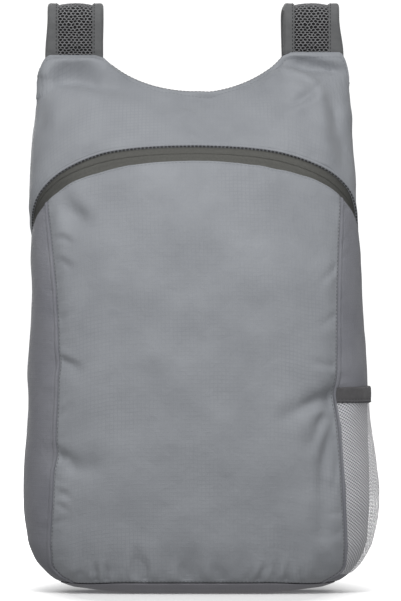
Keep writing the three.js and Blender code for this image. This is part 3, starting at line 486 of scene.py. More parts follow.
def add_piece(name, vertices, faces, materials, replaces=(), threads=None, kinds=None):
    """Makes a piece from millimetres, lets it ride on the bag and gives it its finish."""
    mesh = bpy.data.meshes.new(name)
    mesh.from_pydata((np.asarray(vertices) * 0.001).tolist(), [], [list(f) for f in faces])
    mesh.shade_smooth()
    mesh.set_sharp_from_angle(angle=math.radians(55))
    for material in materials:
        mesh.materials.append(material)
    if kinds is not None:
        mesh.polygons.foreach_set("material_index", np.asarray(kinds, np.int32))
    if threads is not None:
        layer = mesh.attributes.new("threads_mm", "FLOAT_VECTOR", "POINT")
        layer.data.foreach_set("vector", np.asarray(threads, np.float32).ravel())
    piece = bpy.data.objects.new(name, mesh)
    bpy.context.scene.collection.objects.link(piece)
    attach(piece, "root")
    if replaces:
        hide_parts(*replaces)
    return piece


def add_cloth(name, cloth, lift, thickness, material, replaces=(), threads=None):
    """Makes a patch, lifted off its skin, into a piece, and gives the patch where it then lies."""
    points = cloth["points"] + cloth["normal"] * lift[..., None]
    normal = unit(np.cross(np.gradient(points, axis=1), np.gradient(points, axis=0)))
    vertices, faces = wall(points, cloth["normal"], thickness)
    if threads is None:
        threads = thread_lines(cloth)
    doubled = np.concatenate([threads.reshape(-1, 3)] * 2)
    add_piece(name, vertices, facing_out(vertices, faces), [material], replaces, doubled)
    return dict(cloth, points=points, normal=normal)


def linear(hex_colour):
    """An sRGB hex colour as linear red, green, blue and alpha."""
    parts = [int(hex_colour[k:k + 2], 16) / 255 for k in (1, 3, 5)]
    return [p / 12.92 if p <= 0.04045 else ((p + 0.055) / 1.055) ** 2.4 for p in parts] + [1.0]


def node(tree, kind, links=None, **settings):
    """Adds one shader node with its settings, and links or sets its inputs."""
    made = tree.nodes.new("ShaderNode" + kind)
    for name, value in settings.items():
        setattr(made, name, value)
    for socket, value in (links or {}).items():
        if isinstance(value, bpy.types.NodeSocket):
            tree.links.new(value, made.inputs[socket])
        else:
            made.inputs[socket].default_value = value
    return made


# Nylon ripstop, plain woven from fine filament yarn and coated with silicone: a soft satin
# grey with a faint square grid where heavier yarns cross, and small crinkles from packing.
RIPSTOP_SQUARE = 3.1
RIPSTOP_YARN = 0.55
WEAVE_PITCH = 0.7      # the real 0.2 mm yarns are too fine to show, so they are drawn coarser
CRINKLE_SIZE = 9.0
TONE_SIZE = 48.0
FADE_SIZE = 55.0        # of the patches where the grid shows more


def new_material(name, values):
    """A material with these values on its shader's own sockets, its node tree and its shader."""
    made = bpy.data.materials.new(name)
    made.use_nodes = True
    shader = made.node_tree.nodes["Principled BSDF"]
    for socket, value in values.items():
        shader.inputs[socket].default_value = value
    return made, made.node_tree, shader


def ripstop_nylon(name, light, dark, yarn, roughness):
    """The cloth in one grey: a mottled tone, the yarns of the grid, the weave and the crinkles."""
    material, tree, shader = new_material(name, {
        "Roughness": roughness, "IOR": 1.45, "Specular IOR Level": 0.35, "Sheen Weight": 0.12,
        "Sheen Roughness": 0.5})
    threads = node(tree, "Attribute", attribute_name="threads_mm").outputs["Vector"]
    axes = node(tree, "SeparateXYZ", {0: threads})
    lines = []
    for axis in ("X", "Y"):
        away = node(tree, "Math", {0: axes.outputs[axis], 1: RIPSTOP_SQUARE / 2},
                    operation="PINGPONG").outputs[0]
        line = node(tree, "MapRange", {0: away, 1: RIPSTOP_YARN, 2: 0.1, 3: 0.0, 4: 1.0},
                    interpolation_type="SMOOTHSTEP")
        lines.append(line.outputs[0])
    grid = node(tree, "Math", {0: lines[0], 1: lines[1]}, operation="MAXIMUM").outputs[0]
    patches = node(tree, "TexNoise", {"Vector": threads, "Scale": 1 / TONE_SIZE, "Detail": 3.0,
                                      "Roughness": 0.55}).outputs["Fac"]
    tone = node(tree, "MapRange", {0: patches, 1: 0.32, 2: 0.68}).outputs[0]
    cloth = node(tree, "Mix", {"Factor": tone, "A": linear(dark), "B": linear(light)},
                 data_type="RGBA")
    worn = node(tree, "TexNoise", {"Vector": threads, "Scale": 1 / FADE_SIZE,
                                   "Detail": 1.0}).outputs["Fac"]
    fade = node(tree, "MapRange", {0: worn, 1: 0.42, 2: 0.66, 3: 0.02, 4: 0.26}).outputs[0]
    shade = node(tree, "Math", {0: grid, 1: fade}, operation="MULTIPLY").outputs[0]
    colour = node(tree, "Mix", {"Factor": shade, "A": cloth.outputs["Result"], "B": linear(yarn)},
                  data_type="RGBA")
    tree.links.new(colour.outputs["Result"], shader.inputs["Base Color"])
    weave = node(tree, "TexChecker", {"Vector": threads, "Scale": 2 / WEAVE_PITCH}).outputs["Fac"]
    crinkle = node(tree, "TexNoise", {"Vector": threads, "Scale": 1 / CRINKLE_SIZE, "Detail": 2.0,
                                      "Distortion": 0.6}).outputs["Fac"]
    yarns = node(tree, "Math", {0: grid, 1: 0.05}, operation="MULTIPLY").outputs[0]
    raised = node(tree, "Math", {0: weave, 1: 0.03, 2: yarns}, operation="MULTIPLY_ADD")
    height = node(tree, "Math", {0: crinkle, 1: 0.55, 2: raised.outputs[0]},
                  operation="MULTIPLY_ADD")
    bump = node(tree, "Bump", {"Height": height.outputs[0], "Distance": 0.001, "Strength": 0.8})
    tree.links.new(bump.outputs[0], shader.inputs["Normal"])
    return material


front_cloth = ripstop_nylon("silicone_coated_ripstop_nylon", "#93969b", "#888b90", "#7b7e83", 0.52)

FRONT_SPAN = (250, 325)    # across and up the cut panel, roughly, which spaces its grid
FRONT_PITCH = 1.75
CLOTH = 0.6


def sewn_edge(away):
    """Cloth turned down into a seam, with the dip that a row of stitches presses beside it."""
    return -1.0 * hump(away, 0.6) - 0.32 * hump(away - 1.5, 0.7)


def folded_edge(away):
    """A hem folded under: it rounds off into the zip, and its stitches press a dip behind it."""
    return -1.5 * hump(away, 0.55) - 0.35 * hump(away - 2.1, 0.6)


# Creases of the front and the yoke, read off the photograph: both ends, then the bend as a
# share of the length, the width, the lift and how strongly the crease starts
FRONT_CREASES = [
    (66, 414, 119, 404, 0.05, 5.8, -6.6, 0.4),
    (90, 411, 121, 405, 0.04, 2.8, -2.4, 0.4),
    (66, 406, 98, 372, 0.20, 5.0, 3.6, 0.3),
    (95, 404, 110, 312, -0.05, 8.0, 4.4, 0.4),
    (105, 382, 110, 354, 0.04, 4.6, -2.0, 0.3),
    (92, 391, 62, 379, 0.08, 3.6, -2.8, 0.5),
    (113, 360, 117, 318, 0.02, 7.0, -2.0, 0.3),
    (68, 392, 60, 372, 0.10, 6.0, -1.2, 0.3),
    (-8, 387, 26, 379, 0.12, 7.0, -3.0, 0.4),
    (-26, 389, -40, 372, 0.08, 9.0, -1.4, 0.4),
    (-10, 358, 2, 350, 0.05, 2.6, 1.0, 0.4),
    (-20, 372, 10, 364, 0.08, 5.0, 1.2, 0.2),
    (-116, 395, -72, 398, 0.22, 7.0, -6.2, 0.5),
    (-106, 402, -56, 390, 0.06, 7.0, -6.0, 0.5),
    (-78, 396, -36, 382, 0.10, 7.5, -3.4, 0.5),
    (-118, 378, -66, 378, 0.14, 9.0, 1.8, 0.3),
    (-122, 388, -125, 350, 0.02, 6.0, -2.2, 0.6),
    (-107, 300, -84, 277, 0.08, 7.6, -2.2, 0.5),
    (-105, 300, -78, 288, -0.05, 4.6, -1.0, 0.5),
    (-106, 276, -95, 269, 0.05, 2.4, -1.3, 1.0),
    (-105, 258, -96, 250, 0.05, 2.2, -1.1, 1.0),
    (-105, 181, -91, 173, 0.05, 2.8, -1.5, 1.0),
    (-107, 106, -88, 90, 0.06, 4.8, -1.9, 0.7),
    (-106, 99, -96, 104, 0.05, 3.0, 1.4, 0.6),
    (-108, 80, -97, 71, 0.05, 2.6, -0.8, 1.0),
    (-108, 69, -99, 61, 0.05, 2.2, -0.7, 1.0),
    (108, 154, 68, 136, -0.05, 4.6, -3.2, 0.8),
    (107, 153, 90, 114, -0.07, 4.4, -2.2, 0.8),
    (108, 150, 97, 40, -0.05, 4.4, -2.2, 0.8),
    (104, 148, 82, 92, 0.05, 5.0, 1.6, 0.5),
    (108, 120, 100, 66, 0.05, 3.0, -1.2, 0.8),
    (104, 176, 86, 182, 0.05, 3.0, -1.2, 1.0),
    (106, 252, 92, 240, 0.05, 3.0, -1.0, 1.0),
    (107, 215, 94, 208, -0.04, 2.6, -0.9, 1.0),
    (-79, 10, -79, 27, 0.04, 2.0, -1.8, 1.0),
    (-71, 10, -72, 25, -0.04, 2.0, -1.5, 1.0),
    (-54, 9, -55, 20, 0.02, 1.8, -1.1, 1.0),
    (-47, 10, -47, 42, 0.02, 3.6, -1.6, 0.8),
    (-41, 9, -43, 30, -0.06, 2.6, -1.8, 1.0),
    (46, 9, 52, 26, -0.06, 2.4, -1.8, 1.0),
    (61, 9, 62, 32, 0.02, 2.6, -1.6, 1.0),
    (68, 9, 69, 28, -0.03, 2.2, -1.5, 1.0),
    (80, 9, 79, 22, 0.03, 1.8, -1.1, 1.0),
    (14, 9, 15, 26, 0.03, 2.8, -1.0, 1.0),
    (-10, 9, -12, 30, 0.03, 3.2, -1.0, 1.0),
]


def front_lift(cloth, extra):
    """Folds, puckers and slack of the front and the yoke, which are seen from straight ahead."""
    x, z = cloth["points"][..., 0], cloth["points"][..., 2]
    slack = 1.5 * soft_noise(x, z, 58, 3) + 0.7 * soft_noise(x + 9, z, 27, 4)
    rumple = 0.30 * (1 - np.abs(soft_noise(x, z, 21, 5))) + 0.14 * soft_noise(x, z, 11, 6)
    edge = from_edges(cloth)
    folds = crease_lift(x, z, FRONT_CREASES + extra)
    return (slack + rumple) * ease(edge, 0, 14) + folds * ease(edge, 0.3, 4.5)


columns = edge_spaced(FRONT_SPAN[0], FRONT_PITCH)
front = patch(columns, edge_spaced(FRONT_SPAN[1], FRONT_PITCH), front_panel_angle,
              base_seam(front_panel_angle),
              lambda across: meet(lambda z: front_panel_angle(across, z),
                                  zip_cloth_edge))


def edge_line(cloth, edge):
    """An edge of a patch in X and Z, and the direction into the cloth beside it."""
    take = {"left": np.s_[:, 0], "right": np.s_[:, -1], "bottom": np.s_[0], "top": np.s_[-1]}
    inside = {"left": np.s_[:, 12], "right": np.s_[:, -13], "bottom": np.s_[12], "top": np.s_[-13]}
    line = cloth["points"][take[edge]][:, [0, 2]]
    return line, unit(cloth["points"][inside[edge]][:, [0, 2]] - line)


front_puckers = (seam_puckers(*edge_line(front, "left"), 11, 15, 17, 0.8)
                 + seam_puckers(*edge_line(front, "right"), 12, 15, 17, 0.8)
                 + seam_puckers(*edge_line(front, "top"), 13, 17, 10, 0.45)
                 + seam_puckers(*edge_line(front, "bottom"), 14, 8, 13, 1.0))
lift = front_lift(front, front_puckers)
lift += sewn_edge(front["left"]) + sewn_edge(front["right"]) + sewn_edge(front["bottom"])
lift += folded_edge(front["top"])
front = add_cloth("front_panel_cloth", front, lift, CLOTH, front_cloth,
                  ["front_panel"])

# Side panels. Gussets of the same nylon in a darker grey, sewn to the front with the seam turned
# towards them, so that a narrow raised rib runs down beside the front's row of stitches.
side_cloth = ripstop_nylon("darker_ripstop_nylon", "#828389", "#76777e", "#6a6b71", 0.56)

SIDE_SPAN = (112, 265)
SIDE_PITCH = 2.3
SEAM_RIB = 3.0


def ribbed_edge(away):
    """The seam's turned-back layers: a rib as wide as the seam allowance, with a dip behind it."""
    rib = 0.65 * ease(away, 0.2, 0.8) * (1 - ease(away, SEAM_RIB - 0.5, SEAM_RIB + 0.3))
    return rib - 0.9 * hump(away, 0.5) - 0.3 * hump(away - 3.6, 0.5)


def right_side_angle(across, z):
    return front_seam(z) + (back_seam(z) - front_seam(z)) * across


def left_side_angle(across, z):
    return -right_side_angle(1 - across, z)


side_panels = {}
for label, angle_at, seed in (("right", right_side_angle, 31), ("left", left_side_angle, 41)):
    columns = edge_spaced(SIDE_SPAN[0], SIDE_PITCH)
    side = patch(columns, edge_spaced(SIDE_SPAN[1], SIDE_PITCH), angle_at, base_seam(angle_at),
                 lambda across: meet(lambda z: angle_at(across, z),
                                     zip_cloth_edge))
    u, v = side["left"], side["bottom"]
    edge = from_edges(side)
    lift = 1.1 * soft_noise(u, v, 46, seed) + 0.5 * soft_noise(u, v, 22, seed + 1)
    lift *= ease(edge, 0, 16)
    creases = panel_puckers(side, seed + 2, (16, 15, 0.8), (9, 14, 1.1))
    lift += crease_lift(u, v, creases) * ease(edge, 0.3, 4.5)
    to_front, to_back = ("left", "right") if label == "right" else ("right", "left")
    lift += ribbed_edge(side[to_front]) + sewn_edge(side[to_back]) + sewn_edge(side["bottom"])
    lift += folded_edge(side["top"])
    side_panels[label] = add_cloth(f"side_panel_cloth_{label}", side, lift, CLOTH, side_cloth,
                                   [f"side_panel_{label}"])

# Back panel. The plain flat back of the same nylon, from the base seam up to the neck hem, its
# top edge set a little lower than the yoke's.
BACK_SPAN = (250, 400)
BACK_PITCH = 2.6
BACK_SPREAD = 0.35
REAR_HEM_DROP = 1.7


def back_panel_angle(across, z):
    place = 2 * across - 1
    share = np.abs(place) * (1 + BACK_SPREAD * (1 - place**2)) * section("back_seam", z)
    return math.pi + np.sign(place) * back_angle(np.minimum(share, 1), z)


def hem_above(angle_at, drop=0.0):
    return lambda across: meet(lambda z: angle_at(across, z),
                               lambda turn, z: hem_line(plan_shares(turn, z)[0]) - drop)


columns = edge_spaced(BACK_SPAN[0], BACK_PITCH)
back = patch(columns, edge_spaced(BACK_SPAN[1], BACK_PITCH), back_panel_angle,
             base_seam(back_panel_angle), hem_above(back_panel_angle, REAR_HEM_DROP))
u, v = back["left"], back["bottom"]
edge = from_edges(back)
lift = (1.2 * soft_noise(u, v, 62, 51) + 0.5 * soft_noise(u, v, 26, 52)
        + 0.2 * (1 - np.abs(soft_noise(u, v, 20, 53)))) * ease(edge, 0, 18)
creases = panel_puckers(back, 54, (16, 16, 0.9), (10, 15, 1.1))
lift += crease_lift(u, v, creases) * ease(edge, 0.3, 4.5)
lift += sewn_edge(back["left"]) + sewn_edge(back["right"]) + sewn_edge(back["bottom"])
back = add_cloth("back_panel_cloth", back, lift, CLOTH, front_cloth,
                 ["back_panel"])

# Base. A flat plate of the same nylon in its darkest grey, with a low lip that every panel is
# sewn to, so that it shows from the front only as a dark band along the floor.
base_cloth = ripstop_nylon("darkest_ripstop_nylon", "#87868c", "#7c7b81", "#6f6e74", 0.6)

turns = [front_panel_angle, right_side_angle, back_panel_angle,
         lambda across, z: 2 * math.pi + left_side_angle(across, z)]
shares = [np.arange(count) / count for count in (140, 56, 130, 56)]
rise = np.array([0, 0.4, 0.9, 1.6, 2.4, 3.2, 4.0, 4.8, 5.6, 6.4, 6.9, 7.3, 7.6, 7.8, 8.0])
rim = np.stack([np.concatenate([
    skin(turn(share, up * base_seam(turn)(share)), up * base_seam(turn)(share))
    for turn, share in zip(turns, shares)]) for up in rise / BASE_LIP])
lip = rim.copy()
level = rise[:, None]
swell = 0.5 * ease(level, 0, 3) - 0.9 * hump(8.0 - level, 0.6)
around = unit(np.cross(np.roll(rim, -1, 1) - np.roll(rim, 1, 1), np.array([0.0, 0.0, 1.0])))
lip += around * swell[..., None]
floor_rows = np.concatenate([np.linspace(0.02, 0.9, 26), [0.95, 0.98]])
flat = floor_rows[:, None, None] * rim[0][None]
flat[..., 2] = 0.02 + rim[0, :, 2] * floor_rows[:, None] ** 3
lip[0, :, 2] += 0.05
girth = np.concatenate([flat, lip])
turned_under = np.array([0, 0, 1.0]) * (1 - ease(level, 0, 2.5))[..., None]
normal = np.concatenate([np.tile([0.0, 0.0, -1.0], flat.shape[:2] + (1,)),
                         unit(around - turned_under)])
vertices, faces = wall(girth, normal, CLOTH, ring=True)
threads = np.stack([girth[..., 0], girth[..., 1] + girth[..., 2], 0 * girth[..., 0]], -1)
threads = np.concatenate([threads.reshape(-1, 3)] * 2)
add_piece("base_cloth", vertices, facing_out(vertices, faces), [base_cloth],
          ["base_panel"], threads)

# Yoke. The upper front above the zip, of the front's nylon. It runs round both shoulders to the
# back seams, and its top is folded under and stitched as the neck hem and the shoulder hems.
YOKE_FRONT_SHARE = 0.88
YOKE_TURN = 20 / 32
YOKE_SPAN = (370, 100)


def yoke_angle(across, z):
    place, side = np.abs(2 * across - 1), np.sign(2 * across - 1)
    inner = front_angle(np.minimum(place / YOKE_TURN, 1) * YOKE_FRONT_SHARE, z)
    turned = front_angle(YOKE_FRONT_SHARE, z)
    outer = turned + (back_seam(z) - turned) * (place - YOKE_TURN) / (1 - YOKE_TURN)
    return side * np.where(place <= YOKE_TURN, inner, outer)


def neck_hem(away):
    """The folded hem: its edge rounds off, and its stitches sink five millimetres below it."""
    fold = 0.35 * ease(away, 0.3, 1.2) * (1 - ease(away, 4.0, 5.4))
    return fold - 0.45 * hump(away - 4.6, 0.6)


columns = edge_spaced(YOKE_SPAN[0], FRONT_PITCH)
yoke = patch(columns, edge_spaced(YOKE_SPAN[1], FRONT_PITCH), yoke_angle,
             lambda across: meet(lambda z: yoke_angle(across, z),
                                 zip_yoke_edge),
             hem_above(yoke_angle))
yoke_puckers = (seam_puckers(*edge_line(yoke, "bottom"), 61, 16, 9, 0.45)
                + seam_puckers(*edge_line(yoke, "top"), 62, 9, 8, 0.5))
lift = front_lift(yoke, yoke_puckers) * ease(yoke["top"], 0, 6)
lift += folded_edge(yoke["bottom"]) + sewn_edge(yoke["left"]) + sewn_edge(yoke["right"])
lift += neck_hem(yoke["top"])
yoke = add_cloth("yoke_cloth", yoke, lift, CLOTH, front_cloth, ["yoke_panel"])

# Zip. A reversed coil zip: two woven polyester tapes meet over the hidden coil in a fine groove,
# lying just behind the folded cloth edges, and its slider is parked at the end by the left seam.
ZIP_DEPTH = 1.9
ZIP_HOLD = 11.5
TAPE_RIB = 1.1     # the woven ribs of the tape, drawn coarser than the real 0.5 mm to show

tape_polyester, tree, shader = new_material("woven_polyester_zip_tape", {
    "Roughness": 0.78, "Specular IOR Level": 0.3})
threads = node(tree, "Attribute", attribute_name="threads_mm").outputs["Vector"]
axes = node(tree, "SeparateXYZ", {0: threads})
across_tape = node(tree, "Math", {0: axes.outputs["Y"], 1: TAPE_RIB / 2}, operation="PINGPONG")
slant = node(tree, "Math", {0: across_tape.outputs[0], 1: 1.4, 2: axes.outputs["X"]},
             operation="MULTIPLY_ADD")
rib = node(tree, "Math", {0: slant.outputs[0], 1: 0.45}, operation="PINGPONG")
mottle = node(tree, "TexNoise", {"Vector": threads, "Scale": 0.5, "Detail": 2.0}).outputs["Fac"]
even = node(tree, "Mix", {"Factor": mottle, "A": linear("#565653"), "B": linear("#686864")},
            data_type="RGBA").outputs["Result"]
# Painted shade: the tape darkens towards both ends, for the shade of the cloth closing over it
far = node(tree, "Math", {0: axes.outputs["X"]}, operation="ABSOLUTE").outputs[0]
painted_end_shade = node(tree, "MapRange", {0: far, 1: 85.0, 2: 150.0, 3: 0.0, 4: 0.75}).outputs[0]
tint = node(tree, "Mix", {"Factor": painted_end_shade, "A": even, "B": linear("#2e2e2d")}, data_type="RGBA")
tree.links.new(tint.outputs["Result"], shader.inputs["Base Color"])
bump = node(tree, "Bump", {"Height": rib.outputs[0], "Distance": 0.001, "Strength": 0.6})
tree.links.new(bump.outputs[0], shader.inputs["Normal"])


def under_zip_angle(across, z):
    return 2 * back_seam(z) * across - back_seam(z)


zip_offsets = np.array([0.1, 0.3, 0.6, 1.0, 1.5, 2.1, 2.8, 3.6, 4.4, 5.4, 6.4, 7.6, 9.4, ZIP_HOLD])
for label, side in (("upper", 1), ("lower", -1)):
    across = np.linspace(0.003, 0.997, 420)
    offsets = zip_offsets if side > 0 else -zip_offsets[::-1]
    rows = []
    for offset in offsets:
        z = meet(lambda z: under_zip_angle(across, z), lambda turn, z: beside_zip(turn, offset))
        rows.append(skin(under_zip_angle(across, z), z))
    tape = measured(np.stack(rows))
    away = np.abs(offsets)[:, None]
    groove = 0.5 * ease(away, 0, 0.9) - 0.45 * ease(away, 2.6, 4.6) - 0.55
    lift = -ZIP_DEPTH + groove + 0.25 + 0 * tape["left"]
    along = tape["left"] - tape["left"][:, 210:211]
    threads = np.stack([along, 0 * along + offsets[:, None], 0 * along], -1)
    add_cloth(f"zip_tape_weave_{label}", tape, lift, 0.5, tape_polyester,
              [f"zip_tape_{label}"], threads)

coil_polyester, tree, shader = new_material("moulded_polyester_coil", {
    "Base Color": linear("#3c3c3d"), "Roughness": 0.42})
place = node(tree, "NewGeometry").outputs["Position"]
turns_of_coil = node(tree, "TexWave", {"Vector": place, "Scale": 130.0}, bands_direction="X")
bump = node(tree, "Bump", {"Height": turns_of_coil.outputs["Fac"], "Distance": 0.0004,
                           "Strength": 0.8})
tree.links.new(bump.outputs[0], shader.inputs["Normal"])
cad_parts["zip_coil"].data.materials.clear()
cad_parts["zip_coil"].data.materials.append(coil_polyester)

slider_metal, tree, shader = new_material("painted_zinc_slider", {
    "Base Color": linear("#4a4b4d"), "Metallic": 0.5})
place = node(tree, "NewGeometry").outputs["Position"]
speckle = node(tree, "TexNoise", {"Vector": place, "Scale": 900.0, "Detail": 2.0}).outputs["Fac"]
gloss = node(tree, "MapRange", {0: speckle, 3: 0.32, 4: 0.5})
tree.links.new(gloss.outputs[0], shader.inputs["Roughness"])
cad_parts["zip_slider"].data.materials.clear()
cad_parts["zip_slider"].data.materials.append(slider_metal)
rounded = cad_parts["zip_slider"].modifiers.new("rounded_edges", "BEVEL")
rounded.width, rounded.segments = 0.0006, 3

# Seam threads. Every seam is closed with a row of lock stitches in dark grey polyester thread,
# about eight to the inch, each a short bead of thread sunk between its two needle holes.
STITCH_PITCH = 3.0
STITCH_LENGTH = 2.2
STITCH_WIDTH = 0.55
SEAM_INSET = 1.5        # from the edge of the cloth to the stitches of a seam,
ZIP_INSET = 2.1         # to those beside the zip, and to those of the hem
HEM_INSET = 4.6


def mottle_and_relief(tree, shader, mottle, dark, light, height, distance, strength):
    """Mottles a shader's colour between two greys and gives it a relief, in metres."""
    tint = node(tree, "Mix", {"Factor": mottle, "A": linear(dark), "B": linear(light)},
                data_type="RGBA")
    tree.links.new(tint.outputs["Result"], shader.inputs["Base Color"])
    bump = node(tree, "Bump", {"Height": height, "Distance": distance, "Strength": strength})
    tree.links.new(bump.outputs[0], shader.inputs["Normal"])


sewing_thread, tree, shader = new_material("spun_polyester_thread", {"Roughness": 0.7})
place = node(tree, "NewGeometry").outputs["Position"]
twist = node(tree, "TexNoise", {"Vector": place, "Scale": 1500.0, "Detail": 2.0}).outputs["Fac"]
mottle_and_relief(tree, shader, twist, "#4e4f52", "#6b6c6f", twist,
                  0.0001, 0.6)


def line_inside(cloth, edge, away):
    """The line so far inside an edge of a patch, with its outward directions."""
    spread = cloth[edge]
    grid, normal = cloth["points"], cloth["normal"]
    if edge in ("bottom", "top"):
        spread, grid, normal = spread.T, grid.transpose(1, 0, 2), normal.transpose(1, 0, 2)
    if edge in ("right", "top"):
        spread, grid, normal = spread[:, ::-1], grid[:, ::-1], normal[:, ::-1]
    points, ways = [], []
    for far, line, way in zip(spread, grid, normal):
        points.append([np.interp(away, far, line[:, k]) for k in range(3)])
        ways.append([np.interp(away, far, way[:, k]) for k in range(3)])
    return np.array(points), np.array(ways)


def stitch_row(line, normal, pitch=STITCH_PITCH, length=STITCH_LENGTH, width=STITCH_WIDTH):
    """Beads of thread along a line: a ring of five corners at four places along each bead."""
    gone = lengths_along(line)
    marks = np.arange(pitch / 2, gone[-1] - pitch / 3, pitch)

    def at(place, table):
        return np.stack([np.interp(place, gone, table[:, k]) for k in range(3)], -1)
    middle, out = at(marks, line), unit(at(marks, normal))
    ahead = unit(at(marks + length / 2, line) - at(marks - length / 2, line))
    beside = unit(np.cross(out, ahead))
    corner = np.arange(5) * 2 * math.pi / 5
    vertices = []
    for along, size in ((-1, 0.35), (-0.45, 1.0), (0.45, 1.0), (1, 0.35)):
        centre = middle + ahead * along * length / 2 + out * (0.08 - 0.2 * along**2)
        for turn in corner:
            vertices.append(centre + size * width / 2 * (
                beside * math.cos(turn) + out * math.sin(turn) * 0.8))
    vertices = np.stack(vertices, 1)
    faces = [[r * 5 + k, r * 5 + 5 + k, r * 5 + 5 + (k + 1) % 5, r * 5 + (k + 1) % 5]
             for r in range(3) for k in range(5)]
    faces = np.array(faces)[None] + (np.arange(len(marks)) * 20)[:, None, None]
    return vertices.reshape(-1, 3), faces.reshape(-1, 4)


def rows_inside(*lines, **thread):
    """A row of stitches inside each edge: the cloth, which edge of it, and how far inside."""
    return [stitch_row(*line_inside(*line), **thread) for line in lines]


def add_stitches(name, rows, material=None):
    """Joins several rows of stitches into one piece."""
    vertices, faces, count = [], [], 0
    for points, quads in rows:
        vertices.append(points)
        faces.append(quads + count)
        count += len(points)
    add_piece(name, np.concatenate(vertices), np.concatenate(faces),
              [material or sewing_thread])


def dyed_thread(name, dark, light):
    """The same sewing thread in another grey."""
    thread = sewing_thread.copy()
    thread.name = name
    for part in thread.node_tree.nodes:
        if part.bl_idname == "ShaderNodeMix":
            part.inputs["A"].default_value = linear(dark)
            part.inputs["B"].default_value = linear(light)
    return thread


dark_thread = dyed_thread("near_black_polyester_thread", "#2a2a2c", "#3d3d40")
matching_thread = dyed_thread("matching_polyester_thread", "#7b7e83", "#8c8f94")

add_stitches("front_seam_stitches", rows_inside(
    (front, "left", SEAM_INSET), (front, "right", SEAM_INSET), (front, "bottom", SEAM_INSET)))
# Dark stitches on the yoke's edge over the zip, drawn wide to paint its shadow line as well
add_stitches("zip_edge_stitches_and_painted_shadow", rows_inside((yoke, "bottom", 0.3), length=2.5, width=1.3),
             dark_thread)
neck_line, neck_way = line_inside(yoke, "top", 0.15)
neck = np.abs(neck_line[:, 0] - 3) < neck_half_width + 1
neck_row = stitch_row(neck_line[neck], neck_way[neck], length=3.2, width=0.6)
add_stitches("neck_edge_stitches", [neck_row], dark_thread)

# The hem and the lower edge of the zip are sewn in thread of the cloth's own grey
add_stitches("hem_stitches", rows_inside(
    (yoke, "top", HEM_INSET), (front, "top", ZIP_INSET), (side_panels["left"], "top", ZIP_INSET),
    (side_panels["right"], "top", ZIP_INSET)), matching_thread)
add_stitches("back_seam_stitches", rows_inside(
    (back, "left", SEAM_INSET), (back, "right", SEAM_INSET), (back, "bottom", SEAM_INSET),
    (back, "top", HEM_INSET), (side_panels["left"], "bottom", SEAM_INSET),
    (side_panels["right"], "bottom", SEAM_INSET)))

# Net pocket. Fine knitted polyester net, sewn into the side seams and the base, pushed out by
# its own spring. The holes are real, in slanting rows, and the cloth behind shows through.
POCKET_BULGE = 8.0
POCKET_INSET = 0.01
POCKET_BAND = 12.5
POCKET_SPAN = 108.0  # across the stretched net, which spaces its holes
NET_PITCH = 1.25     # between holes along a slanting row
NET_ROW = 1.95       # between the rows
NET_HOLE = 0.62


def pocket_lift(across, up):
    """How far the full net stands off the side panel, which is least at its four edges."""
    bulge = POCKET_BULGE * np.sin(math.pi * up) ** 1.1
    side = np.sin(math.pi * np.clip(across, 0, 1)) ** 0.8
    return 1.5 * GAP + side * (bulge * (1 - up**4) + GAP * up**4)


def pocket_angle(across, z):
    return right_side_angle(POCKET_INSET + (1 - 2 * POCKET_INSET) * across, z)


def pocket_place(across, z, extra=0.0):
    """A point of the pocket's net, at a share across it and a height."""
    up = np.clip((z - POCKET_BOTTOM) / (POCKET_TOP - POCKET_BAND - GAP - POCKET_BOTTOM), 0, 1)
    angle = pocket_angle(across, z)
    u, v = across * POCKET_SPAN, z
    slack = 0.5 * soft_noise(u, v, 30, 71) + 0.25 * soft_noise(u, v, 14, 72)
    lift = pocket_lift(across, up) + 0.5 + slack * np.sin(math.pi * up) ** 0.5
    return skin(angle, z) + outward(angle, z) * (lift + extra)[..., None]


def net_sheet(width, height, first, second, hole):
    """A flat net of six-sided cells with holes: its points, faces and the holes' inner corners."""
    reach = int((width + height) / min(abs(first[0]), abs(second[1]))) + 4
    i, j = np.meshgrid(np.arange(-reach, reach), np.arange(-reach, reach))
    i, j = i.ravel(), j.ravel()
    first, second = np.array(first), np.array(second)
    centre = i[:, None] * first + j[:, None] * second
    keep = ((centre[:, 0] > -0.4 * first[0]) & (centre[:, 0] < width + 0.4 * first[0])
            & (centre[:, 1] > -0.4 * second[1]) & (centre[:, 1] < height + 0.4 * second[1]))
    i, j, centre = i[keep], j[keep], centre[keep]
    kinds = [(0, 0, 0), (-1, 1, 1), (-1, 0, 0), (-1, 0, 1), (0, -1, 0), (0, 0, 1)]
    offset = [(first + second) / 3, (2 * first - second) / 3]
    keys = [np.stack([i + di, j + dj, np.full_like(i, kind)], -1) for di, dj, kind in kinds]
    keys = np.stack(keys, 1).reshape(-1, 3)
    unique, index = np.unique(keys, axis=0, return_inverse=True)
    corners = unique[:, :1] * first + unique[:, 1:2] * second + np.array(offset)[unique[:, 2]]
    outer = index.reshape(-1, 6)
    around = corners[outer]
    inner = centre[:, None] + (around - centre[:, None]) * hole
    points = np.concatenate([corners, inner.reshape(-1, 2)])
    points = np.clip(points, 0, [width, height])
    inside = len(corners) + np.arange(len(centre) * 6).reshape(-1, 6)
    faces = np.stack([outer, np.roll(outer, -1, 1), np.roll(inside, -1, 1), inside], -1)
    return points, faces.reshape(-1, 4), inside


net_polyester, tree, shader = new_material("knitted_polyester_net", {
    "Roughness": 0.6, "Sheen Weight": 0.2})
place = node(tree, "NewGeometry").outputs["Position"]
mottle = node(tree, "TexNoise", {"Vector": place, "Scale": 60.0, "Detail": 3.0}).outputs["Fac"]
knit = node(tree, "TexNoise", {"Vector": place, "Scale": 1400.0}).outputs["Fac"]
mottle_and_relief(tree, shader, mottle, "#c1c1c5", "#d8d8dc", knit,
                  0.0003, 0.7)

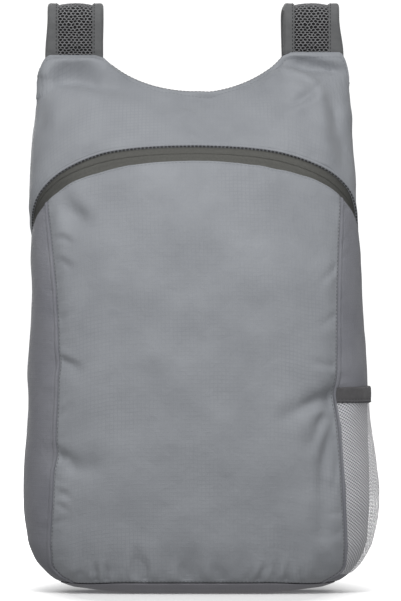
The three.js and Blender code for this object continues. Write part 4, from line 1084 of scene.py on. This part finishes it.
net_top = POCKET_TOP - POCKET_BAND
slope = math.sqrt(0.5)
first = (NET_PITCH * slope, -NET_PITCH * slope)
second = (NET_ROW * slope - first[1] / 2, NET_ROW * slope + first[1] / 2)
points, faces, _ = net_sheet(POCKET_SPAN, net_top - POCKET_BOTTOM + 1, first, second,
                             NET_HOLE)
net = pocket_place(points[:, 0] / POCKET_SPAN, POCKET_BOTTOM + points[:, 1])
add_piece("pocket_net", net, faces[:, ::-1], [net_polyester], ["mesh_pocket"])

# The pocket's mouth is bound with knitted elastic, gathered a little, with one row of stitches.
BAND_THICKNESS = 1.3

band_elastic, tree, shader = new_material("knitted_elastic_binding", {
    "Roughness": 0.85, "Sheen Weight": 0.15})
threads = node(tree, "Attribute", attribute_name="threads_mm").outputs["Vector"]
axes = node(tree, "SeparateXYZ", {0: threads})
rib = node(tree, "Math", {0: axes.outputs["X"], 1: 0.55}, operation="PINGPONG")
knit = node(tree, "Math", {0: axes.outputs["Y"], 1: 0.45}, operation="PINGPONG")
height = node(tree, "Math", {0: rib.outputs[0], 1: knit.outputs[0]}, operation="ADD")
mottle = node(tree, "TexNoise", {"Vector": threads, "Scale": 0.3, "Detail": 3.0}).outputs["Fac"]
mottle_and_relief(tree, shader, mottle, "#49484a", "#5a595b", height.outputs[0],
                  0.0005, 0.7)

across = np.linspace(0, 1, 120)
high = np.array([0, 0.3, 0.8, 1.6, 2.4, 3.0, 3.6, 5, 6.5, 8, 9.5, 10.8, 11.6, 12.2, POCKET_BAND])
z = net_top + high[:, None] + 0 * across
angle = pocket_angle(across + 0 * z, z)
round_edge = 0.5 * ease(high, 0, 0.9) * (1 - ease(high, 11.4, POCKET_BAND))
round_edge -= 0.3 * hump(high - 2.9, 0.6)
gathers = 0.22 * np.sin(across * POCKET_SPAN / 2.1)
gathers = gathers * np.sin(math.pi * high / POCKET_BAND)[:, None]
lift = pocket_lift(across, 1.0) + round_edge[:, None] + gathers + BAND_THICKNESS
band = measured(skin(angle, z) + outward(angle, z) * lift[..., None])
band = add_cloth("pocket_elastic", band, 0 * lift, BAND_THICKNESS, band_elastic,
                 ["pocket_binding"])
add_stitches("pocket_stitches", rows_inside((band, "bottom", 0.8), width=0.8)
             + rows_inside((band, "bottom", 3.0)), dark_thread)

# Shoulder straps. Each is a thin foam pad inside open air mesh, sewn into the shoulder hem. It
# stands up, folds back over and hangs behind the bag, edged with a folded woven tape.
STRAP_RISE = 41.0
STRAP_TUCK = 12.0
STRAP_ARCH = 10.5
STRAP_CORE = 2.6
STRAP_CROWN = 1.7
STRAP_STAND_BACK = 91.0
STRAP_FOOT_SPLAY = 15.0
STRAP_END_HEIGHT = 160.0
BINDING_WIDTH = 8.6
BINDING = 1.0
RIGHT_REAR_SHIFT = 2.0
STRAP_FALL = [(.10, .08), (.19, .21), (.29, .36), (.41, .57), (.60, .81), (.79, .95), (1, 1)]

root_y = float(body_middle(BODY_HEIGHT))
arch_z = BODY_HEIGHT + STRAP_RISE - STRAP_CORE / 2 - BINDING - GAP - STRAP_ARCH
fall_y, foot_y = root_y + 2 * STRAP_ARCH, STRAP_STAND_BACK


def smooth_path(points, count):
    """Many places on a curve through points, rounder where the points lie close together."""
    points = np.asarray(points, float)
    ends = np.concatenate([[2 * points[0] - points[1]], points, [2 * points[-1] - points[-2]]])
    pieces = []
    for k in range(len(points) - 1):
        a, b, c, d = ends[k:k + 4]
        before, here, after = [np.linalg.norm(q - p) ** 0.5 for p, q in ((a, b), (b, c), (c, d))]
        leave = ((b - a) / before - (c - a) / (before + here) + (c - b) / here) * here
        arrive = ((c - b) / here - (d - b) / (here + after) + (d - c) / after) * here
        t = np.linspace(0, 1, count, endpoint=False)[:, None]
        pieces.append(b * (2 * t**3 - 3 * t**2 + 1) + leave * (t**3 - 2 * t**2 + t)
                      + c * (3 * t**2 - 2 * t**3) + arrive * (t**3 - t**2))
    return np.concatenate(pieces + [points[-1:]])


route = [(float(body_middle(BODY_HEIGHT - STRAP_TUCK)), BODY_HEIGHT - STRAP_TUCK),
         (root_y, BODY_HEIGHT), (root_y, BODY_HEIGHT + 0.6 * (arch_z - BODY_HEIGHT))]
route += [(root_y + STRAP_ARCH * (1 - math.cos(k * math.pi / 4)),
           arch_z + STRAP_ARCH * math.sin(k * math.pi / 4)) for k in range(5)]
route += [(fall_y + (foot_y - fall_y) * back, arch_z + (STRAP_END_HEIGHT - arch_z) * down)
          for down, back in STRAP_FALL]
strap_path = smooth_path(route, 60)
strap_gone = lengths_along(strap_path)
strap_length = strap_gone[-1]


def strap_frame(gone, side):
    """Middle of the strap and the direction out of its face, so many millimetres along it."""
    y = np.interp(gone, strap_gone, strap_path[:, 0])
    z = np.interp(gone, strap_gone, strap_path[:, 1])
    step = [np.interp(gone + 0.3, strap_gone, strap_path[:, k])
            - np.interp(gone - 0.3, strap_gone, strap_path[:, k]) for k in (0, 1)]
    ahead = unit(np.stack(step, -1))
    down = np.clip((arch_z - z) / (arch_z - STRAP_END_HEIGHT), 0, 1)
    splay = np.where(y > root_y + STRAP_ARCH, down**1.3, 0) * STRAP_FOOT_SPLAY
    rear = RIGHT_REAR_SHIFT * (side > 0) * ease(y, root_y + STRAP_ARCH, fall_y)
    rear = rear * (1 - ease(down, 0.1, 0.5))
    middle = np.stack([side * (strap_centre + splay) + lean(z) - rear, y, z], -1)
    return middle, np.stack([0 * y, -ahead[..., 1], ahead[..., 0]], -1)


def on_strap(gone, side, across, out):
    """A point of the strap, so far along it, across it and out of its face."""
    middle, face = strap_frame(gone, side)
    shift = np.stack([across + 0 * gone, 0 * gone, 0 * gone], -1)
    return middle + shift + face * (out + 0 * gone)[..., None]


air_mesh, tree, shader = new_material("knitted_spacer_mesh", {"Roughness": 0.85})
place = node(tree, "NewGeometry").outputs["Position"]
mottle = node(tree, "TexNoise", {"Vector": place, "Scale": 300.0, "Detail": 2.0}).outputs["Fac"]
knit = node(tree, "TexVoronoi", {"Vector": place, "Scale": 1600.0}).outputs["Distance"]
mottle_and_relief(tree, shader, mottle, "#6c6c6e", "#8a8a8c", knit,
                  0.0003, 0.7)

foam, tree, shader = new_material("dark_polyethylene_foam", {"Roughness": 0.95})
place = node(tree, "NewGeometry").outputs["Position"]
pores = node(tree, "TexVoronoi", {"Vector": place, "Scale": 1100.0}).outputs["Distance"]
mottle_and_relief(tree, shader, pores, "#0f0f10", "#1e1e1f", pores,
                  0.0005, 0.6)

grosgrain, tree, shader = new_material("woven_grosgrain_binding", {
    "Roughness": 0.75, "Sheen Weight": 0.15})
threads = node(tree, "Attribute", attribute_name="threads_mm").outputs["Vector"]
axes = node(tree, "SeparateXYZ", {0: threads})
rib = node(tree, "Math", {0: axes.outputs["Y"], 1: 0.4}, operation="PINGPONG")
mottle = node(tree, "TexNoise", {"Vector": threads, "Scale": 0.25, "Detail": 3.0}).outputs["Fac"]
mottle_and_relief(tree, shader, mottle, "#58595a", "#696a6b", rib.outputs[0],
                  0.0006, 0.7)

CORE_HALF = STRAP_WIDTH / 2 - BINDING_WIDTH + 1.5
STRAP_FLARE = {"left": 0.7, "right": 1.3}
MESH_ROW = 2.0
MESH_HOLE_PITCH = 3.3
MESH_DEPTH = 0.9
PAD_START = 8.0         # the pad begins inside the shoulder hem
PAD_EDGE = 0.75
PAD_FULL = 0.55
CROWN_HALF = 13.4
PAD_MARGIN = 1.6
FINE_END = 60.0         # the part that stands in sight is drawn finer than the part behind
FOLD_OUT = 2.9          # half the thickness and half the bulge of the folded tape
FOLD_ROUND = 2.45
TAPE_THICKNESS = 0.7
pad_end = strap_length - BINDING_WIDTH

for label, side in (("left", -1), ("right", 1)):
    def pad_out(across, gone):
        crown = STRAP_CROWN * (1 - np.clip(np.abs(across) / CROWN_HALF, 0, 1) ** 2) ** 0.8
        start = ease(gone, STRAP_TUCK, STRAP_TUCK + 8)
        end = 1 - ease(gone, pad_end - 4, pad_end + 4)
        return PAD_EDGE + PAD_FULL * start + crown * start * end
    lengths = np.concatenate([np.arange(PAD_START, FINE_END, 1.5),
                              np.arange(FINE_END, strap_length, 3), [strap_length]])
    spread = np.linspace(-STRAP_WIDTH / 2 + PAD_MARGIN, STRAP_WIDTH / 2 - PAD_MARGIN, 25)
    gone, across = np.meshgrid(lengths, spread, indexing="ij")
    out = pad_out(across, gone) - PAD_EDGE
    upper = on_strap(gone, side, across, out)
    lower = on_strap(gone, side, across, -out)
    _, faces = wall(upper, unit(upper - lower), 1.0)
    vertices = np.concatenate([upper.reshape(-1, 3), lower.reshape(-1, 3)])
    kinds = [0] * len(faces)
    count = len(vertices)
    for face_side in (1, -1):
        points, cells, inside = net_sheet(2 * CORE_HALF, pad_end + 1 - PAD_START,
                                          (MESH_HOLE_PITCH, 0),
                                          (MESH_HOLE_PITCH / 2, MESH_ROW), 0.78)
        over, run = points[:, 0] - CORE_HALF, points[:, 1] + PAD_START
        pull = 0.55 * (1 - (over / CORE_HALF) ** 2)
        over, run = (over + pull * soft_noise(over, run, 3.1, 84),
                     run + pull * soft_noise(over, run, 2.7, 85))
        fuzz = 0.06 * soft_noise(over, run, 2.3, 81)
        sheet = on_strap(run, side, over, face_side * (pad_out(over, run) + fuzz))
        deep = on_strap(run, side, over, face_side * (pad_out(over, run) - MESH_DEPTH))
        below = inside + len(points)
        walls = np.stack([inside, np.roll(inside, -1, 1), np.roll(below, -1, 1), below], -1)
        cells = np.concatenate([cells, walls.reshape(-1, 4)]) + count
        if side * face_side > 0:
            cells = cells[:, ::-1]
        vertices = np.concatenate([vertices, sheet, deep])
        faces = np.concatenate([faces, cells])
        kinds += [1] * len(cells)
        count = len(vertices)
    pad = add_piece(f"strap_pad_{label}", vertices, faces, [foam, air_mesh],
                    [f"strap_mesh_{label}"], kinds=kinds)

    # The folded tape along both edges: a flat leaf on each face, round over the pad's edge
    leaf = np.linspace(STRAP_WIDTH / 2 - BINDING_WIDTH, 19.4, 8)
    bend = np.linspace(0, math.pi, 9)
    fold_x = np.concatenate([leaf, 19.5 + FOLD_ROUND * np.sin(bend), leaf[::-1]])
    fold_out = np.concatenate([0 * leaf + FOLD_OUT, FOLD_OUT * np.cos(bend), 0 * leaf - FOLD_OUT])
    fold_out[:2] *= (0.80, 0.93)
    fold_out[-2:] *= (0.93, 0.80)
    tape_run = np.append(0, np.cumsum(np.hypot(np.diff(fold_x), np.diff(fold_out))))
    lengths = np.concatenate([np.arange(STRAP_TUCK - 2.0, FINE_END, 1.2),
                              np.arange(FINE_END, pad_end, 2.4), [pad_end]])
    for edge_name, edge_side in (("outer", side), ("inner", -side)):
        gone, turn = np.meshgrid(lengths, np.arange(len(fold_x)), indexing="ij")
        pinch = 0.55 + 0.45 * ease(gone, STRAP_TUCK - 1.0, STRAP_TUCK + 5.0)
        press = pinch + 0.05 * soft_noise(gone, turn * 0.8, 7, 91) + 0.03 * np.sin(gone / 1.9)
        flare = STRAP_FLARE[label] * (edge_name == "outer")
        flare = flare * (1 - ease(gone, STRAP_TUCK, STRAP_TUCK + 30))
        wide = 1 + flare / BINDING_WIDTH * ease(fold_x[turn], 12, 22)
        points = on_strap(gone, side, edge_side * fold_x[turn] * wide, fold_out[turn] * press)
        tape = measured(points if edge_side > 0 else points[:, ::-1])
        threads = np.stack([np.broadcast_to(tape_run, gone.shape), gone, 0 * gone], -1)
        piece = add_cloth(f"strap_tape_{edge_name}_{label}", tape, 0 * gone, TAPE_THICKNESS,
                          grosgrain, [f"strap_binding_{edge_name}_{label}"], threads)
        add_stitches(f"strap_tape_stitches_{edge_name}_{label}", rows_inside(
            (piece, "left", 1.6), (piece, "right", 1.6), width=0.8), dark_thread)

# Lower ends of the straps. A short piece of the same tape closes the pad, and a loop of narrow
# nylon webbing, sewn on over it, holds the top bar of the ladder lock.
WEB_WIDTH = 20.0
WEB = 1.4
WEB_TAIL = 85.0
LOOP_TAIL = 18.0
LOCK_BAR = 3.0
LOCK_SLOT = 6.0
ANCHOR_SHARE = 0.74      # where the adjusting web is sewn down, across the back and up it
ANCHOR_HEIGHT = 24.0
TAB_HALF_SHARE = 0.11
TAB_HALF_HEIGHT = 12.0
BOX_WIDTH = 15.0         # of the sewn squares, and their heights on the loop and on the tab
LOOP_BOX = 12.0
TAB_BOX = 9.0
pad_half = STRAP_CORE / 2 + GAP + BINDING
bar_turn = math.hypot(LOCK_BAR, LOCK_BAR) / 2 + GAP + WEB / 2
top_bar_drop = BINDING + GAP + 2 * bar_turn + LOCK_BAR / 2
mid_bar_drop = top_bar_drop + LOCK_BAR + LOCK_SLOT
foot_drop = mid_bar_drop + 1.5 * LOCK_BAR + LOCK_SLOT

webbing_nylon, tree, shader = new_material("woven_nylon_webbing", {
    "Roughness": 0.6, "Sheen Weight": 0.1})
threads = node(tree, "Attribute", attribute_name="threads_mm").outputs["Vector"]
axes = node(tree, "SeparateXYZ", {0: threads})
cord = node(tree, "Math", {0: axes.outputs["X"], 1: 0.6}, operation="PINGPONG")
slant = node(tree, "Math", {0: cord.outputs[0], 1: 0.8, 2: axes.outputs["Y"]},
             operation="MULTIPLY_ADD")
pick = node(tree, "Math", {0: slant.outputs[0], 1: 0.5}, operation="PINGPONG")
height = node(tree, "Math", {0: cord.outputs[0], 1: pick.outputs[0]}, operation="ADD")
mottle = node(tree, "TexNoise", {"Vector": threads, "Scale": 0.4, "Detail": 3.0}).outputs["Fac"]
mottle_and_relief(tree, shader, mottle, "#515254", "#66676a", height.outputs[0],
                  0.0006, 0.8)


def web_band(name, path, right, replaces):
    """A flat web with rounded edges along a path; right is its direction across, at each place."""
    ahead = unit(np.gradient(path, axis=0))
    right = unit(right - ahead * np.sum(right * ahead, 1, keepdims=True))
    face = unit(np.cross(right, ahead))
    turn = np.linspace(0, 2 * math.pi, 29)[:-1]
    across = np.sign(np.cos(turn)) * np.abs(np.cos(turn)) ** 0.25 * WEB_WIDTH / 2
    out = np.sign(np.sin(turn)) * np.abs(np.sin(turn)) ** 0.5 * WEB / 2
    gone = lengths_along(path)
    points = (path[:, None] + right[:, None] * across[None, :, None]
              + face[:, None] * out[None, :, None])
    count, corners = len(path), len(turn)
    index = np.arange(count * corners).reshape(count, corners)
    index = np.hstack([index, index[:, :1]])
    faces = np.stack([index[:-1, :-1], index[1:, :-1], index[1:, 1:], index[:-1, 1:]], -1)
    faces = faces.reshape(-1, 4).tolist() + [index[0, :-1].tolist(), index[-1, -2::-1].tolist()]
    threads = np.stack(np.broadcast_arrays(across[None], gone[:, None], 0.0), -1).reshape(-1, 3)
    add_piece(name, points.reshape(-1, 3), faces, [webbing_nylon], replaces, threads)
    return path, right, face


def box_stitches(middle, right, ahead, face, width, height):
    """The sewn square with its two diagonals that holds a web, as rows of stitches."""
    corner = {k: middle + right * x * width / 2 + ahead * y * height / 2 + face * 0.15
              for k, (x, y) in enumerate([(-1, -1), (1, -1), (1, 1), (-1, 1)])}
    rows = []
    for start, end in ((0, 1), (1, 2), (2, 3), (3, 0), (0, 2), (1, 3)):
        line = corner[start] + (corner[end] - corner[start]) * np.linspace(0, 1, 12)[:, None]
        rows.append(stitch_row(line, np.tile(face, (12, 1)), 2.2, 1.7, 0.5))
    return rows


for label, side in (("left", -1), ("right", 1)):
    end, face = strap_frame(np.array([strap_length]), side)
    end, face = end[0], face[0]
    right = np.array([1.0, 0.0, 0.0])
    down = np.cross(face, right)

    leaf = np.linspace(-BINDING_WIDTH, -1.4, 7)
    bend = np.linspace(0, math.pi, 9)
    along = np.concatenate([leaf, -1.1 + 2.4 * np.sin(bend), leaf[::-1]])
    out = np.concatenate([0 * leaf + 2.55, 2.55 * np.cos(bend), 0 * leaf - 2.55])
    x = np.linspace(-STRAP_WIDTH / 2, STRAP_WIDTH / 2, 40)
    points = (end + right * x[:, None, None] + down * along[None, :, None]
              + face * out[None, :, None])
    tape = measured(points[:, ::-1])
    threads = np.stack(np.broadcast_arrays(along[None, ::-1], x[:, None], 0.0), -1)
    add_cloth(f"strap_end_tape_{label}", tape, 0 * tape["left"], TAPE_THICKNESS, grosgrain,
              [f"strap_end_{label}"], threads)

    # The loop of webbing round the top bar
    reach = pad_half + GAP + WEB / 2
    bar_z = end[2] - top_bar_drop
    loop = [(-reach, end[2] + LOOP_TAIL), (-reach, end[2] - BINDING), (-bar_turn, bar_z),
            (-bar_turn * math.sqrt(0.5), bar_z - bar_turn * math.sqrt(0.5)), (0, bar_z - bar_turn),
            (bar_turn * math.sqrt(0.5), bar_z - bar_turn * math.sqrt(0.5)), (bar_turn, bar_z),
            (reach, end[2] - BINDING), (reach, end[2] + LOOP_TAIL)]
    flat = smooth_path([(end[1] + y, z) for y, z in loop], 9)
    path = np.column_stack([np.full(len(flat), end[0]), flat])
    web_band(f"strap_loop_web_{label}", path, np.tile(right, (len(path), 1)),
             [f"strap_loop_{label}"])
    sewn = []
    for out_way in (-1, 1):
        middle = np.array([end[0], end[1] + out_way * (reach + WEB / 2), end[2] + LOOP_TAIL / 2])
        way = np.array([0.0, out_way, 0.0])
        sewn += box_stitches(middle, right, np.array([0.0, 0.0, 1.0]), way, BOX_WIDTH, LOOP_BOX)

    # The adjusting web: its sewn end on the corner of the back, up round the middle bar of the
    # lock, and down again as a free tail
    seat_turn = math.pi - side * float(back_angle(ANCHOR_SHARE, ANCHOR_HEIGHT))

    def seat(z):
        return skin(seat_turn, z) + outward(seat_turn, z) * (2.5 * GAP + 1.5 + WEB / 2)
    bar_z = end[2] - mid_bar_drop
    path = [(end[0], end[1] + bar_turn, bar_z - WEB_TAIL * part) for part in (1, 0.5)]
    path += [(end[0], end[1] + bar_turn * math.cos(a), bar_z + bar_turn * math.sin(a))
             for a in np.linspace(0, math.pi, 5)]
    foot = np.array([end[0], end[1] - bar_turn, end[2] - foot_drop])
    path += [foot, 0.75 * seat(62.4) + 0.25 * foot, seat(33.6), seat(19.2)]
    path = smooth_path(path, 16)
    beside = unit(skin(seat_turn - 0.02, ANCHOR_HEIGHT) - skin(seat_turn + 0.02, ANCHOR_HEIGHT))
    part = ease(np.linspace(0, 1, len(path)), 0.72, 0.9)[:, None]
    path, across, out = web_band(f"adjusting_web_{label}", path,
                                 right * (1 - part) + beside * part, [f"webbing_{label}"])
    spot = len(path) - 10
    sewn += box_stitches(path[spot] + out[spot] * WEB / 2, across[spot],
                         unit(path[spot + 1] - path[spot - 1]), out[spot], BOX_WIDTH,
                         TAB_BOX)
    add_stitches(f"web_stitches_{label}", sewn, matching_thread)

    # The anchor tab: a folded patch of the darker nylon, sewn flat on the corner of the back
    turns = [math.pi - side * float(back_angle(ANCHOR_SHARE + way * side * TAB_HALF_SHARE,
                                               ANCHOR_HEIGHT)) for way in (1, -1)]
    tab = patch(edge_spaced(32, 1.5), edge_spaced(24, 1.5),
                lambda across, z: turns[0] + (turns[1] - turns[0]) * across + 0 * z,
                lambda across: np.full_like(across, ANCHOR_HEIGHT - TAB_HALF_HEIGHT),
                lambda across: np.full_like(across, ANCHOR_HEIGHT + TAB_HALF_HEIGHT))
    rim = from_edges(tab)
    lift = 1.9 - 1.1 * hump(rim, 0.9)
    lift += 0.12 * soft_noise(tab["left"], tab["bottom"], 6, 97)
    tab = add_cloth(f"anchor_tab_cloth_{label}", tab, lift, 1.2, side_cloth,
                    [f"anchor_tab_{label}"])
    add_stitches(f"anchor_tab_stitches_{label}", rows_inside(
        *((tab, edge, 2.0) for edge in ("left", "right", "bottom", "top"))))

# Ladder locks. Plain buckles moulded in acetal, satin with a fine spark-eroded grain, all their
# edges rounded by the mould, with ribs on the foot that the thumb lifts.
moulded_acetal, tree, shader = new_material("moulded_acetal", {
    "Base Color": linear("#37383a"), "IOR": 1.48})
place = node(tree, "NewGeometry").outputs["Position"]
grain = node(tree, "TexNoise", {"Vector": place, "Scale": 2600.0, "Detail": 2.0}).outputs["Fac"]
gloss = node(tree, "MapRange", {0: grain, 3: 0.36, 4: 0.5})
tree.links.new(gloss.outputs[0], shader.inputs["Roughness"])
bump = node(tree, "Bump", {"Height": grain, "Distance": 0.0001, "Strength": 0.5})
tree.links.new(bump.outputs[0], shader.inputs["Normal"])

BUCKLE_ROUNDING = 0.0009     # metres, as the solid's own mesh is
THUMB_RIB = 0.0005
THUMB_RIB_PITCH = 0.0013

for label in ("left", "right"):
    shape = bmesh.new()
    shape.from_mesh(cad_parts[f"ladder_lock_{label}"].data)
    bmesh.ops.remove_doubles(shape, verts=shape.verts, dist=1e-6)
    bmesh.ops.dissolve_limit(shape, angle_limit=0.02, verts=shape.verts, edges=shape.edges)
    sharp = [edge for edge in shape.edges
             if len(edge.link_faces) == 2 and edge.calc_face_angle() > 0.6]
    bmesh.ops.bevel(shape, geom=sharp, offset=BUCKLE_ROUNDING, segments=4, profile=0.5,
                    affect="EDGES")
    low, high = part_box(f"ladder_lock_{label}")
    for k in range(3):
        rib = bmesh.ops.create_cone(shape, cap_ends=True, segments=12, radius1=THUMB_RIB,
                                    radius2=THUMB_RIB, depth=(high.x - low.x) * 0.6)["verts"]
        turn = Matrix.Rotation(math.pi / 2, 4, "Y")
        spot = Vector(((low.x + high.x) / 2, high.y, low.z + 0.0012 + THUMB_RIB_PITCH * k))
        bmesh.ops.transform(shape, matrix=Matrix.Translation(spot) @ turn, verts=rib)
    mesh = bpy.data.meshes.new(f"buckle_{label}")
    shape.to_mesh(mesh)
    shape.free()
    mesh.shade_smooth()
    mesh.set_sharp_from_angle(angle=math.radians(40))
    mesh.materials.append(moulded_acetal)
    buckle = bpy.data.objects.new(f"buckle_{label}", mesh)
    bpy.context.scene.collection.objects.link(buckle)
    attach(buckle, "root")
    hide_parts(f"ladder_lock_{label}")

# Studio. A white paper floor and a white surround, with one broad soft lamp above and in front
# of the bag and a fill before and behind it, so that only a faint shadow lies round the base.
FLOOR_HALF = 6
FLOOR_DROP = 0.0005
SHADOW_REACH = (0.10, 0.18)     # the paper turns from lit to glowing between these distances

floor_mesh = bpy.data.meshes.new("floor")
floor_mesh.from_pydata([(x * FLOOR_HALF, y * FLOOR_HALF, -FLOOR_DROP)
                        for x, y in ((-1, -1), (1, -1), (1, 1), (-1, 1))], [], [(0, 1, 2, 3)])
studio_floor = bpy.data.objects.new("floor", floor_mesh)
bpy.context.scene.collection.objects.link(studio_floor)
studio_floor.visible_diffuse = False
studio_floor.visible_glossy = False
white_paper, tree, paper = new_material("white_paper_floor", {
    "Base Color": (0.9, 0.9, 0.9, 1), "Roughness": 1.0, "Specular IOR Level": 0.0,
    "Emission Color": (1, 1, 1, 1)})
# Painted light: the paper glows, hardly beside the bag and fully a little way off
place = node(tree, "NewGeometry").outputs["Position"]
squeezed = node(tree, "VectorMath", {0: place, 1: (1, 0.42, 1)},
                operation="MULTIPLY").outputs["Vector"]
far = node(tree, "VectorMath", {0: squeezed}, operation="LENGTH")
paper_glow = node(tree, "MapRange", {0: far.outputs["Value"], 1: SHADOW_REACH[0], 2: SHADOW_REACH[1],
                                 3: 0.05, 4: 1.0})
tree.links.new(paper_glow.outputs[0], paper.inputs["Emission Strength"])
floor_mesh.materials.append(white_paper)


def soft_lamp(name, place, aim, size, power):
    """A broad soft lamp at a place, turned towards its aim."""
    light = bpy.data.lights.new(name, "AREA")
    light.shape, light.size, light.size_y, light.energy = "RECTANGLE", size[0], size[1], power
    lamp = bpy.data.objects.new(name, light)
    lamp.location = place
    way = np.array(aim) - np.array(place)
    lamp.rotation_euler = (math.atan2(math.hypot(way[0], way[1]), -way[2]), 0,
                           math.atan2(-way[0], way[1]))
    bpy.context.scene.collection.objects.link(lamp)


soft_lamp("key_lamp", (-0.12, -1.15, 1.65), (0, 0, 0.22), (0.9, 0.7), 17)
soft_lamp("front_fill", (0.3, -2.6, 0.6), (0, 0, 0.2), (1.4, 1.0), 18.5)
soft_lamp("rear_fill", (-0.5, 2.2, 1.0), (0, 0, 0.22), (1.6, 1.2), 24)

world = bpy.data.worlds.new("surround")
bpy.context.scene.world = world
world.use_nodes = True
tree = world.node_tree
background = tree.nodes["Background"]
way_up = node(tree, "SeparateXYZ", {0: node(tree, "TexCoord").outputs["Generated"]}).outputs["Z"]
glow = node(tree, "MapRange", {0: way_up, 1: -0.9, 2: 0.8, 3: 0.28, 4: 0.46}).outputs[0]
seen = node(tree, "LightPath").outputs["Is Camera Ray"]
strength = node(tree, "Mix", {"Factor": seen, "A": glow, "B": 1.1}, data_type="FLOAT")
tree.links.new(strength.outputs["Result"], background.inputs["Strength"])
background.inputs["Color"].default_value = (1, 1, 1, 1)
bpy.context.scene.view_settings.view_transform = "Standard"
bpy.context.scene.view_settings.look = "None"
